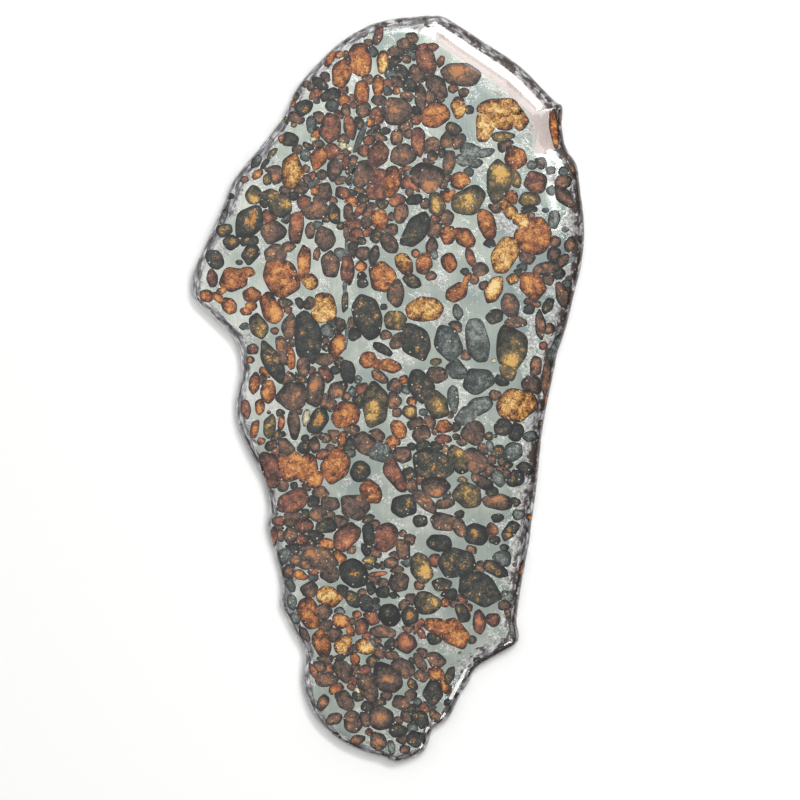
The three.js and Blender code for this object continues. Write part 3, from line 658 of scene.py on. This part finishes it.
# Between the listed crystals lie crumbs of dark olivine that fill the gaps, thickest where the photograph
# shows hardly any metal: centre and radius of each crowd, in millimetres, and the share of its gaps filled.
CROWDS = [
    (-13, 84, 16, 0.55), (-8, 66, 15, 0.85), (-20, 52, 14, 0.75), (-12, 44, 12, 0.8), (3, 50, 12, 0.5),
    (8, 84, 10, 0.7), (-24, 12, 12, 0.8), (-18, -2, 12, 0.85), (-10, -14, 9, 0.6), (8, -8, 10, 0.5),
    (18, -22, 13, 0.85), (-26, -22, 12, 0.8), (-20, -42, 13, 0.9), (-2, -44, 9, 0.7), (-6, -70, 16, 0.8),
    (4, -85, 13, 0.85), (44, 30, 9, 0.6), (36, 55, 10, 0.6), (20, -55, 12, 0.4), (14, 60, 10, 0.6),
]
STRAY_SHARE = 0.08
# The grid that crumbs are tried on, the range of their half lengths and their flatness, the least room that
# one needs and how many times that room it spreads, and how finely the way out to a neighbour is searched.
CRUMB_SEED = 29
CRUMB_SPACING = 1.75
CRUMB_REACH = (1.2, 3.1)
CRUMB_FLATNESS = 0.9
CRUMB_ROOM = 0.3
CRUMB_SPREAD = 4.5
CRUMB_STEPS = 12
CRUMB_HALVINGS = 4
# The least share of the way out that a crumb reaches, and the least depth that is divided by.
LEAST_REACH = 0.04
LEAST_DEPTH = 0.01
# How often a crumb has each tint.
CRUMB_TINTS = {"umber": 0.42, "ink": 0.26, "russet": 0.16, "slate": 0.12, "amber": 0.04}
# How far crumbs keep from the rim, and past the margin where that is wide and bright: the margins that are
# wider than this, above this height.
RIM_ROOM = 2.6
VEIL_ROOM = 3.5
VEILED_MARGIN = 5.8
VEIL_FROM_Y = 66


def in_veil(margin, rim_y):
    """Whether the rim has the wide bright margin of the upper right here."""
    return margin > VEILED_MARGIN and rim_y > VEIL_FROM_Y


def clear_of_rim(place):
    """Whether a place is far enough in: past the wall, or past the whole margin where that is veiled."""
    reach, margin, rim_y = min(((place - p).length, m, p.y) for p, _, m in rim)
    return reach > (margin + VEIL_ROOM if in_veil(margin, rim_y) else RIM_ROOM)


def inside_rim(place):
    """Whether a place is inside the rim, by how many times a line to its right crosses it."""
    crossings = 0
    for (a, _, _), (b, _, _) in zip(rim, rim[1:] + rim[:1]):
        if (a.y > place.y) != (b.y > place.y):
            crossings += place.x < a.x + (b.x - a.x) * (place.y - a.y) / (b.y - a.y)
    return crossings % 2 == 1


class Crumb(Grain):
    """A small dark grain that fills the gap it lies in, out to its neighbours."""

    def __init__(self, tint, place, size, neighbours):
        super().__init__(tint, place.x, place.y, 2 * size, 2 * CRUMB_FLATNESS * size, 0)
        for i in range(DIRECTIONS):
            steps = range(1, CRUMB_STEPS + 1)
            first = next((step for step in steps if self.meets(neighbours, step / CRUMB_STEPS, i)), None)
            if first is None:
                continue
            free, blocked = (first - 1) / CRUMB_STEPS, first / CRUMB_STEPS
            for _ in range(CRUMB_HALVINGS):
                middle = (free + blocked) / 2
                if self.meets(neighbours, middle, i):
                    blocked = middle
                else:
                    free = middle
            self.reach[i] *= free
            self.bare[i] = TOUCHING_SKIN
        reach = self.reach
        smooth = [(reach[i - 1] + reach[i] + reach[(i + 1) % DIRECTIONS]) / 3 for i in range(DIRECTIONS)]
        self.reach = [min(own, near) for own, near in zip(reach, smooth)]
        self.outline = [self.at(max(reach, LEAST_REACH), i) for i, reach in enumerate(self.reach)]

    def meets(self, neighbours, share, i):
        """Whether a neighbour is there, at this share of the way out in direction i."""
        probe = self.centre.lerp(self.outline[i], share)
        return any(other.depth(probe) < 1 for other in neighbours)


def grow_crumbs():
    """Tries one crumb in each cell of a loose grid, and keeps those that fall in a gap."""
    rng = random.Random(CRUMB_SEED)
    found = []
    columns, rows = (math.ceil((high[k] - low[k]) / CRUMB_SPACING) for k in (0, 1))
    for row in range(rows):
        for column in range(columns):
            x = low[0] + (column + rng.random()) * CRUMB_SPACING
            y = low[1] + (row + rng.random()) * CRUMB_SPACING
            place = Vector((x, y))
            chance = max([s for x, y, r, s in CROWDS if (place - Vector((x, y))).length < r] + [STRAY_SHARE])
            draw, size = rng.random(), rng.uniform(*CRUMB_REACH)
            tint = rng.choices(list(CRUMB_TINTS), list(CRUMB_TINTS.values()))[0]
            if draw > chance or not inside_rim(place) or not clear_of_rim(place):
                continue
            away = [((g.centre - place).length, g) for g in (*grains, *found)]
            away = [(reach, g) for reach, g in away if reach < NEAR_SHARE * g.half[0] + size]
            gaps = (reach * (1 - 1 / max(LEAST_DEPTH, g.depth(place))) for reach, g in away)
            room = min(gaps, default=size)
            if room > CRUMB_ROOM:
                found.append(Crumb(tint, place, min(size, room * CRUMB_SPREAD), [g for _, g in away]))
    return found


crumbs = grow_crumbs()
for crumb in crumbs:
    small[crumb.tint].append(crumb)
grains += crumbs

# A crystal's mesh. Each ring of a polished face has its depth inside the outline in millimetres, and how
# clear it is of the dark skin. The rings crowd no nearer to the core than the crowding steps allow.
SKIN_RINGS = [(0.0, 0.0), (0.3, 0.32), (0.8, 0.66), (1.6, 1.0)]
SKIN_SHARE = 0.5
CORE_SHARE = 0.45
CROWDING = 0.05
# A grain with no heart of its own is painted evenly lit over this share of it. A heart paints its glow on the
# grain whose outline it lies this deep inside.
PLAIN_SHARE = 0.7
HEART_DEPTH = 0.8
# How a point past the plate's rim is drawn in to it, and a height that is clear of the plate.
DRAWN_IN = (1.0, 0.97, 0.93, 0.88, 0.8, 0.7, 0.55, 0.35, 0.1)
CLEAR_HEIGHT = 20


def on_plate(centre, place, from_above):
    """The place on the plate's surface over or under a point, drawn in to the plate if it lies outside."""
    side = 1 if from_above else -1
    for share in DRAWN_IN:
        spot = centre.lerp(place, share) + SHIFT
        hit = plate_surface.ray_cast(Vector((*spot, side * CLEAR_HEIGHT)), Vector((0, 0, -side)))[0]
        if hit:
            return hit
    raise ValueError(f"a crystal lies outside the plate at {tuple(centre)}")


def grain_template():
    """A grain's closed mesh: a fan at its core, a ring for each depth of skin, a wall, and the same below."""
    body = bmesh.new()
    direction = body.verts.layers.int.new("direction")
    level = body.verts.layers.int.new("level")
    bmesh.ops.create_circle(body, cap_ends=True, cap_tris=True, segments=DIRECTIONS, radius=1)
    for vert in body.verts:
        vert[level] = round(vert.co.length)
        vert[direction] = round(math.atan2(vert.co.y, vert.co.x) / math.tau * DIRECTIONS) % DIRECTIONS
    edges = [edge for edge in body.edges if edge.is_boundary]
    last = 2 * len(SKIN_RINGS) + 2
    for next_level in range(2, last + 1):
        ring, edges = next_ring(body, edges)
        for vert in ring:
            vert[level] = next_level
    cap = bmesh.ops.contextual_create(body, geom=edges)["faces"]
    bmesh.ops.poke(body, faces=cap)["verts"][0][level] = last + 1
    mesh = bpy.data.meshes.new("grain_template")
    body.to_mesh(mesh)
    body.free()
    return mesh


template = grain_template()


def add_grain(body, grain, material_index):
    """Adds one grain to a piece's mesh, shaped to its outline and to the plate's two surfaces."""
    first = len(body.verts)
    first_face = len(body.faces)
    body.from_mesh(template)
    body.verts.ensure_lookup_table()
    body.faces.ensure_lookup_table()
    layers = body.verts.layers
    direction, level = layers.int["direction"], layers.int["level"]
    skin, tone, fade = (layers.float.get(name) or layers.float.new(name) for name in ("skin", "tone", "fade"))
    heart = layers.float_vector.get("heart") or layers.float_vector.new("heart")
    lit = next((row for row in HEARTS if grain.depth(Vector(row[:2])) < HEART_DEPTH), None)
    if lit:
        x, y, long, short, tilt = lit
        heart_centre, heart_axis = Vector((x, y)), heading(math.radians(tilt))
        heart_half = (long / 2, short / 2)
    else:
        heart_centre, heart_axis = grain.centre, grain.axis
        heart_half = [half * PLAIN_SHARE for half in grain.half]
    heart_side = Vector((-heart_axis.y, heart_axis.x))
    amount = 1.0 if lit else 0.0
    rng = random.Random(f"{grain.centre.x:.2f}")
    fade_axis, shaded = heading(rng.uniform(0, math.tau)), rng.uniform(0, 1)
    # The levels run from the upper face's core out to its rim, and from the lower face's rim in to its core.
    rings = len(SKIN_RINGS)
    for vert in body.verts[first:]:
        from_above = vert[level] <= rings + 1
        step = vert[level] if from_above else 2 * rings + 3 - vert[level]
        edge = grain.outline[vert[direction]]
        reach = (edge - grain.centre).length
        if step > 1:
            ring = rings + 1 - step
            inset, clear = SKIN_RINGS[ring]
            clear = max(clear, grain.bare[vert[direction]])
            inset = min(inset, inset * SKIN_SHARE * reach)
            share = max(CORE_SHARE + CROWDING * ring, 1 - inset / reach)
        else:
            share, clear = step * CORE_SHARE, 1.0
        place = grain.centre.lerp(edge, share)
        vert.co = on_plate(grain.centre, place, from_above)
        offset = place - heart_centre
        vert[heart] = (offset.dot(heart_axis) / heart_half[0], offset.dot(heart_side) / heart_half[1], amount)
        vert[skin] = clear
        vert[fade] = shaded * fade_axis.dot(place - grain.centre) / grain.half[0]
        vert[tone] = grain.tone
    for face in body.faces[first_face:]:
        face.material_index = material_index


# Olivine's tints: from the dark skin and cracks, through the clouded body, to where fresh glass glows, a
# painted glow. Each stop has its place on the scale from darkest to brightest and its colour.
TINTS = {
    "honey": [(0.0, "#241813"), (0.25, "#5A3822"), (0.45, "#95622F"), (0.68, "#C6924B"), (0.97, "#E9CD8F")],
    "amber": [(0.0, "#1F1513"), (0.25, "#4A2C20"), (0.46, "#7E4B2F"), (0.7, "#AC683B"), (1.0, "#D69C57")],
    "russet": [(0.0, "#1D1615"), (0.25, "#422C29"), (0.5, "#66453A"), (0.75, "#8D5844"), (1.0, "#C27C4E")],
    "umber": [(0.0, "#1C1917"), (0.28, "#39312D"), (0.52, "#584A42"), (0.78, "#7A5A49"), (1.0, "#B97C4C")],
    "olive": [(0.0, "#1B1C18"), (0.28, "#393830"), (0.54, "#57503E"), (0.78, "#80663B"), (1.0, "#D0A55B")],
    "ink": [(0.0, "#121414"), (0.38, "#272A29"), (0.66, "#3A3D39"), (0.87, "#555042"), (1.0, "#BC823A")],
    "slate": [(0.0, "#1C2020"), (0.35, "#3B4241"), (0.6, "#535A57"), (0.8, "#6C726D"), (1.0, "#8E948D")],
    "pale": [(0.0, "#45402F"), (0.35, "#8A8468"), (0.6, "#B7B08E"), (0.8, "#D6CFAC"), (1.0, "#EFEACF")],
}
SKIN_COLOUR = "#1E1815"
# The pale colour of the painted glints in the glass.
PAINTED_GLINT_COLOUR = "#DCCDB8"
# Sizes of what shows in the glass, in millimetres: clouds, the flakes between fractures, the fractures
# themselves, fine grit, how far apart the painted glints lie, and how wide and how far it is all bent.
CLOUD_MM = 2.4
FLAKE_MM = 0.95
CRACK_MM = 2.0
GRIT_MM = 0.4
PAINTED_GLINT_MM = 2.2
WARP_MM = 1.6
WARP_REACH_MM = 2.2
# Where the sum of all that lightens the glass starts, and which part of it the tint's scale spans.
LIGHT_START = -0.82
LIGHT_SPAN = {"From Min": 0.48, "From Max": 1.58}
# Under lacquer the step into the glass is small: 1.67 against 1.5. The lacquer is a smooth clear coat.
GLASS_IOR = 1.12
LACQUER = {"Coat Weight": 1.0, "Coat Roughness": 0.03}


def per(size_mm):
    """The scale of a pattern whose features are about this many millimetres across."""
    return 1 / (size_mm * MM)


def olivine(tint):
    """Polished olivine glass: cracked and clouded inside, so it is lit in flakes, with a dark skin; its glow
    and glints are painted.
    """
    material, tree = new_material(f"polished_olivine_{tint}")
    add = partial(add_node, tree)

    place = add("TexCoord")["Object"]
    bend = add("TexNoise", {"Vector": place, "Scale": per(WARP_MM), "Detail": 2.0})["Color"]
    bend = add("VectorMath", {0: bend, 1: (-0.5, -0.5, -0.5)}, operation="ADD")["Vector"]
    far = [WARP_REACH_MM * MM] * 3
    warped = add("VectorMath", {0: bend, 1: far, 2: place}, operation="MULTIPLY_ADD")["Vector"]
    clouds = {"Vector": warped, "Scale": per(CLOUD_MM), "Detail": 3.0, "Roughness": 0.6}
    cloud = add("TexNoise", clouds)["Fac"]
    grit = add("TexNoise", {"Vector": place, "Scale": per(GRIT_MM), "Detail": 3.0, "Roughness": 0.65})["Fac"]
    flakes = add("TexVoronoi", {"Vector": warped, "Scale": per(FLAKE_MM)})["Color"]
    flake = add("SeparateColor", {0: flakes})["Red"]
    cracks = {"Vector": warped, "Scale": per(CRACK_MM)}
    crack = add("TexVoronoi", cracks, feature="DISTANCE_TO_EDGE")["Distance"]
    line = add("MapRange", {"Value": crack, "From Min": 0.07, "From Max": 0.0, "To Max": -0.28})["Result"]
    # The heart is nothing in its middle and one at its edge, made ragged by the clouds. It paints a glow on
    # its grain by its own amount, which is nothing for a plain grain. Every grain is painted a little darker
    # away from it.
    heart = add("SeparateXYZ", {0: add("Attribute", attribute_name="heart")["Vector"]})
    flat = add("CombineXYZ", {"X": heart["X"], "Y": heart["Y"]})[0]
    away = add("VectorMath", {0: flat}, operation="LENGTH")["Value"]
    ragged = add("Math", {0: cloud, 1: 1.4, 2: away}, operation="MULTIPLY_ADD")[0]
    lit = add("MapRange", {"Value": ragged, "From Min": 2.1, "From Max": 1.35})["Result"]
    lit = add("Math", {0: lit, 1: heart["Z"]}, operation="MULTIPLY")[0]
    # All that lightens or darkens the glass, on one scale.
    skin, tone, fade = (add("Attribute", attribute_name=name)["Fac"] for name in ("skin", "tone", "fade"))
    light = LIGHT_START
    for value, share in (
        (cloud, 1.6), (flake, 0.36), (grit, 1.35), (tone, 0.1), (fade, 0.3),
        (skin, 0.45), (lit, 0.36), (away, -0.13), (line, 1.0),
    ):
        light = add("Math", {0: value, 1: share, 2: light}, operation="MULTIPLY_ADD")[0]
    light = add("MapRange", {"Value": light, **LIGHT_SPAN})["Result"]
    colour = add("ValToRGB", {"Fac": light}, stops=TINTS[tint])["Color"]
    # Painted glints where a fracture faces the light, and the dark skin outside them all.
    painted_glint = add("TexVoronoi", {"Vector": place, "Scale": per(PAINTED_GLINT_MM)})["Distance"]
    painted_glint = add("MapRange", {"Value": painted_glint, "From Min": 0.12, "From Max": 0.05})["Result"]
    colour = add("Mix", {0: painted_glint, 6: colour, 7: to_linear(PAINTED_GLINT_COLOUR)}, data_type="RGBA")[2]
    inside = add("Math", {0: grit, 1: 0.5, 2: skin}, operation="MULTIPLY_ADD")[0]
    inside = add("MapRange", {"Value": inside, "From Min": 0.3, "From Max": 0.62})["Result"]
    colour = add("Mix", {0: inside, 6: to_linear(SKIN_COLOUR), 7: colour}, data_type="RGBA")[2]
    roughness = add("MapRange", {"Value": grit, "To Min": 0.3, "To Max": 0.6})["Result"]
    bump = add("Bump", {"Height": light, "Strength": 0.35, "Distance": 0.1 * MM})["Normal"]
    finish = {"Base Color": colour, "Roughness": roughness, "Normal": bump, "IOR": GLASS_IOR, **LACQUER}
    set_inputs(tree, tree.nodes["Principled BSDF"], finish)
    return material


def new_piece(name, body, materials, smooth_below):
    """A finished piece from a bmesh in millimetres: scaled, shaded smooth below an angle, set on the part."""
    bmesh.ops.scale(body, vec=(MM, MM, MM), verts=body.verts)
    mesh = bpy.data.meshes.new(name)
    body.to_mesh(mesh)
    body.free()
    for material in materials:
        mesh.materials.append(material)
    mesh.shade_smooth()
    mesh.set_sharp_from_angle(angle=math.radians(smooth_below))
    piece = bpy.data.objects.new(name, mesh)
    scene.collection.objects.link(piece)
    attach(piece, "root")
    return piece


# The crystals' polished faces meet their walls in a crisp edge: it is sharp from this many degrees.
CRYSTAL_EDGE = 32
olivines = {tint: olivine(tint) for tint in TINTS}
for number, group in large.items():
    tints = list(dict.fromkeys(grain.tint for grain in group))
    crystal = bmesh.new()
    for grain in group:
        add_grain(crystal, grain, tints.index(grain.tint))
    glass = [olivines[tint] for tint in tints]
    piece = new_piece(f"crystal_{number:02d}", crystal, glass, CRYSTAL_EDGE)
    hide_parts(f"olivine_{number:02d}")
for tint, group in small.items():
    crystals = bmesh.new()
    for grain in group:
        add_grain(crystals, grain, 0)
    new_piece(f"small_crystals_{tint}", crystals, [olivines[tint]], CRYSTAL_EDGE)


# The metal between the crystals: the plate with a pocket for every one of them. It is bright nickel-iron,
# polished with faint parallel lines, with painted light that makes it paler towards the left, hazed towards
# the rim partly by painted reflection, and crusted dark on the outside wall.

# How far the pockets' cutters stand past both faces in millimetres, how much of its own size a pocket is
# let into a neighbour, and the angle in degrees from which the metal's edges are sharp.
CUT_DEPTH = 2.0
POCKET_OVERLAP = 1.025
METAL_EDGE = 40


def pocket_layers():
    """The grains in as few sets as keep neighbours apart, so that no two cutters of a set touch."""
    layers = []
    for grain in grains:
        for layer in layers:
            if not any(grain.near(other) for other in layer):
                layer.append(grain)
                break
        else:
            layers.append([grain])
    return layers


def pocket(grain):
    """A grain's outline, let a little into each neighbour that it touches so no fin of metal is left."""
    shares = [POCKET_OVERLAP if bare else 1.0 for bare in grain.bare]
    return [grain.centre.lerp(place, share) + SHIFT for place, share in zip(grain.outline, shares)]


def cutter(layer):
    """One upright prism for each grain, longer than the plate is thick."""
    body = bmesh.new()
    for grain in layer:
        face = body.faces.new([body.verts.new((*place, -CUT_DEPTH)) for place in pocket(grain)])
        grown = bmesh.ops.extrude_face_region(body, geom=[face])["geom"]
        raised = [g for g in grown if isinstance(g, bmesh.types.BMVert)]
        bmesh.ops.translate(body, vec=(0, 0, THICKNESS + 2 * CUT_DEPTH), verts=raised)
    bmesh.ops.recalc_face_normals(body, faces=body.faces)
    return body


def as_object(name, body):
    """A bmesh as an object of its own, for the cutting alone."""
    mesh = bpy.data.meshes.new(name)
    body.to_mesh(mesh)
    body.free()
    made = bpy.data.objects.new(name, mesh)
    scene.collection.objects.link(made)
    return made


blank = as_object("plate_blank", plate)
cutters = [as_object("pocket_cutter", cutter(layer)) for layer in pocket_layers()]
for tool in cutters:
    cut = blank.modifiers.new("pockets", "BOOLEAN")
    cut.operation = "DIFFERENCE"
    cut.solver = "MANIFOLD"
    cut.object = tool
bpy.context.view_layer.update()
cut_mesh = bpy.data.meshes.new_from_object(blank.evaluated_get(bpy.context.evaluated_depsgraph_get()))
web = bmesh.new()
web.from_mesh(cut_mesh)
for tool in [blank, *cutters]:
    bpy.data.objects.remove(tool)

# How wide a band of the margin is crusted like the wall: a share of the margin, or the widest that it gets,
# or this much under the bright margin.
WALL_BAND_SHARE = 1.15
WIDEST_WALL_BAND = 4.4
VEILED_WALL_BAND = 3.9
# How wide and how strong a painted highlight shows as a pale line on the lacquered edge outside the wall, and
# the same where the lacquer is thickest, with the centre and radius of that stretch.
EDGE_HIGHLIGHT_LINE = (0.75, 0.5)
WIDE_EDGE_HIGHLIGHT_LINE = (2.4, 0.8)
WIDE_EDGE_HIGHLIGHT_AT = Vector((-46.8, 17.6))
WIDE_EDGE_HIGHLIGHT_REACH = 8.5
STREAK_STRETCH = 5
# The metal's own layers: how far into the margin, the wall's band, the painted reflection's veil and the
# painted highlight's line on the lacquered edge each point is, nothing outside them and up to one at the rim,
# and its place along the rim.
layers = web.verts.layers
METAL_LAYERS = ("margin", "wall", "reflection_veil", "edge_highlight")
margin_layer, wall_layer, reflection_veil_layer, edge_highlight_layer = [layers.float.new(name) for name in METAL_LAYERS]
along_layer = layers.float_vector.new("along_rim")
for vert in web.verts:
    place = Vector(vert.co[:2]) - SHIFT
    reach, lean, margin, nearest = min(((place - p).length, a, m, tuple(p)) for p, a, m in rim)
    veiled = in_veil(margin, nearest[1])
    band = VEILED_WALL_BAND if veiled else min(WIDEST_WALL_BAND, WALL_BAND_SHARE * margin)
    wide_highlight = (Vector(nearest) - WIDE_EDGE_HIGHLIGHT_AT).length < WIDE_EDGE_HIGHLIGHT_REACH
    width, strength = WIDE_EDGE_HIGHLIGHT_LINE if wide_highlight else EDGE_HIGHLIGHT_LINE
    vert[margin_layer] = min(1.0, max(0.0, 1 - (reach - lean) / margin))
    vert[wall_layer] = max(0.0, 1 - reach / band)
    vert[reflection_veil_layer] = vert[margin_layer] if veiled else 0.0
    vert[edge_highlight_layer] = strength * max(0.0, 1 - reach / width)
    vert[along_layer] = (nearest[0] * MM, nearest[1] * MM, reach * STREAK_STRETCH * MM)

# Sizes of what shows on the metal, in millimetres: the polishing lines, broad stains, crumbled patches, the
# crumbs in them, the crust of the wall, and the streaks along it.
METAL_LINE_MM = 0.3
METAL_LINE_LENGTH_MM = 40
STAIN_MM = 13
PATCH_MM = 6
CRUMB_MM = 0.75
CRUST_MM = 2.2
STREAK_MM = 3.2
# How much paler the metal is painted towards the left, as painted light, and how much more burnt the wall
# grows towards the right, per metre.
PAINTED_LIGHT_TO_LEFT = 2.2
BURNT_RIGHT = 1.7
METAL = [(0.3, "#8A9795"), (0.5, "#A2ABA1"), (0.72, "#C5C9C0")]
RUBBLE = [(0.3, "#3E3935"), (0.42, "#807D79"), (0.54, "#ADAEAB"), (0.7, "#DFDFDC")]
BARK = [(0.38, "#2A2625"), (0.46, "#636164"), (0.55, "#8E8C8F"), (0.65, "#D3D2D2")]
# A faintly pink painted reflection, mixed into the metal over the bright margin of the upper right.
PAINTED_REFLECTION_COLOUR = "#A99A95"
BURNT_COLOUR = "#33271F"
# The pale painted highlight along the lacquered edge.
EDGE_HIGHLIGHT_COLOUR = "#D3D0CC"


def nickel_iron():
    """Polished nickel-iron: grey with a green cast, faintly lined, crumbled in patches, dark at the wall,
    with painted light: paler to the left, a pink reflection on the bright margin and a pale highlight on the
    edge.
    """
    material, tree = new_material("polished_nickel_iron")
    add = partial(add_node, tree)

    place = add("TexCoord")["Object"]
    across = add("SeparateXYZ", {0: place})["X"]
    drawn_out = (per(METAL_LINE_MM), per(METAL_LINE_LENGTH_MM), per(METAL_LINE_LENGTH_MM))
    stretch = add("Mapping", {"Vector": place, "Scale": drawn_out})["Vector"]
    lines = add("TexNoise", {"Vector": stretch, "Scale": 1.0, "Detail": 2.0, "Roughness": 0.5})["Fac"]
    stain = add("TexNoise", {"Vector": place, "Scale": per(STAIN_MM), "Detail": 4.0, "Roughness": 0.6})["Fac"]
    blotches = {"Vector": place, "Scale": per(PATCH_MM), "Detail": 5.0, "Roughness": 0.65, "Distortion": 0.4}
    patch = add("TexNoise", blotches)["Fac"]
    crumb = add("TexNoise", {"Vector": place, "Scale": per(CRUMB_MM), "Detail": 4.0, "Roughness": 0.7})["Fac"]
    crusts = {"Vector": place, "Scale": per(CRUST_MM), "Detail": 5.0, "Roughness": 0.65}
    crust = add("TexNoise", crusts)["Fac"]
    along_rim = add("Attribute", attribute_name="along_rim")["Vector"]
    streaks = {"Vector": along_rim, "Scale": per(STREAK_MM), "Detail": 4.0, "Roughness": 0.6}
    streak = add("TexNoise", streaks)["Fac"]
    margin, wall, reflection_veil, edge_highlight = (add("Attribute", attribute_name=name)["Fac"] for name in METAL_LAYERS)
    # Clean metal, a little uneven, with painted light that makes it paler towards the left, and the faint
    # lines of its polishing.
    stain_and_painted_light = add("Math", {0: across, 1: -PAINTED_LIGHT_TO_LEFT, 2: stain}, operation="MULTIPLY_ADD")[0]
    base = add("ValToRGB", {"Fac": stain_and_painted_light}, stops=METAL)["Color"]
    tone = {"Value": lines, "From Min": 0.3, "From Max": 0.7, "To Min": 0.93, "To Max": 1.07}
    base = add("VectorMath", {0: base, "Scale": add("MapRange", tone)["Result"]}, operation="SCALE")["Vector"]
    # Crumbled patches, pale with dark specks. They spread towards the rim, where their paleness is partly a
    # painted haze of reflection.
    crumbled = add("Math", {0: crumb, 1: 0.25, 2: patch}, operation="MULTIPLY_ADD")[0]
    crumbled = add("Math", {0: margin, 1: 0.19, 2: crumbled}, operation="MULTIPLY_ADD")[0]
    crumbled = add("MapRange", {"Value": crumbled, "From Min": 0.66, "From Max": 0.76})["Result"]
    rubble = add("ValToRGB", {"Fac": crumb}, stops=RUBBLE)["Color"]
    base = add("Mix", {0: crumbled, 6: base, 7: rubble}, data_type="RGBA")[2]
    # Under the thick lacquer of the bright margin the metal is dull, and a faintly pink painted reflection is
    # mixed into its colour.
    reflection_veil = add("MapRange", {"Value": reflection_veil, "From Max": 0.15, "To Max": 0.85})["Result"]
    base = add("Mix", {0: reflection_veil, 6: base, 7: to_linear(PAINTED_REFLECTION_COLOUR)}, data_type="RGBA")[2]
    # The weathered wall: streaked grey on the left, more and more burnt brown and black towards the right.
    crusted = add("Math", {0: crust, 1: wall}, operation="ADD")[0]
    crusted = add("MapRange", {"Value": crusted, "From Min": 0.66, "From Max": 0.8})["Result"]
    bark = add("ValToRGB", {"Fac": streak}, stops=BARK)["Color"]
    burnt = add("Math", {0: across, 1: BURNT_RIGHT, 2: crust}, operation="MULTIPLY_ADD")[0]
    burnt = add("MapRange", {"Value": burnt, "From Min": 0.53, "From Max": 0.59})["Result"]
    bark = add("Mix", {0: burnt, 6: bark, 7: to_linear(BURNT_COLOUR)}, data_type="RGBA")[2]
    # A painted highlight: the pale line of the lacquer on the very edge, which comes and goes along its
    # length.
    edge_highlight = add("Math", {0: streak, 1: 1.6, 2: edge_highlight}, operation="MULTIPLY_ADD")[0]
    edge_highlight = add("MapRange", {"Value": edge_highlight, "From Min": 1.24, "From Max": 1.38})["Result"]
    bark = add("Mix", {0: edge_highlight, 6: bark, 7: to_linear(EDGE_HIGHLIGHT_COLOUR)}, data_type="RGBA")[2]
    base = add("Mix", {0: crusted, 6: base, 7: bark}, data_type="RGBA")[2]
    # Clean metal is smooth and bright. Crumbs, crust and the metal under the painted reflection are dull,
    # with the crumbs standing up.
    rough = add("Math", {0: crumbled, 1: crusted}, operation="MAXIMUM")[0]
    rough = add("Math", {0: rough, 1: reflection_veil}, operation="MAXIMUM")[0]
    metallic = add("MapRange", {"Value": rough, "To Min": 1.0, "To Max": 0.25})["Result"]
    roughness = add("MapRange", {"Value": rough, "To Min": 0.16, "To Max": 0.5})["Result"]
    height = add("Math", {0: lines, 1: 0.1}, operation="MULTIPLY")[0]
    height = add("Math", {0: crumb, 1: rough, 2: height}, operation="MULTIPLY_ADD")[0]
    bump = add("Bump", {"Height": height, "Strength": 0.4, "Distance": 0.15 * MM})["Normal"]
    finish = {"Base Color": base, "Metallic": metallic, "Roughness": roughness, "Normal": bump, **LACQUER}
    set_inputs(tree, tree.nodes["Principled BSDF"], finish)
    return material


metal = new_piece("metal_web", web, [nickel_iron()], METAL_EDGE)
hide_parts("nickel_iron_metal")
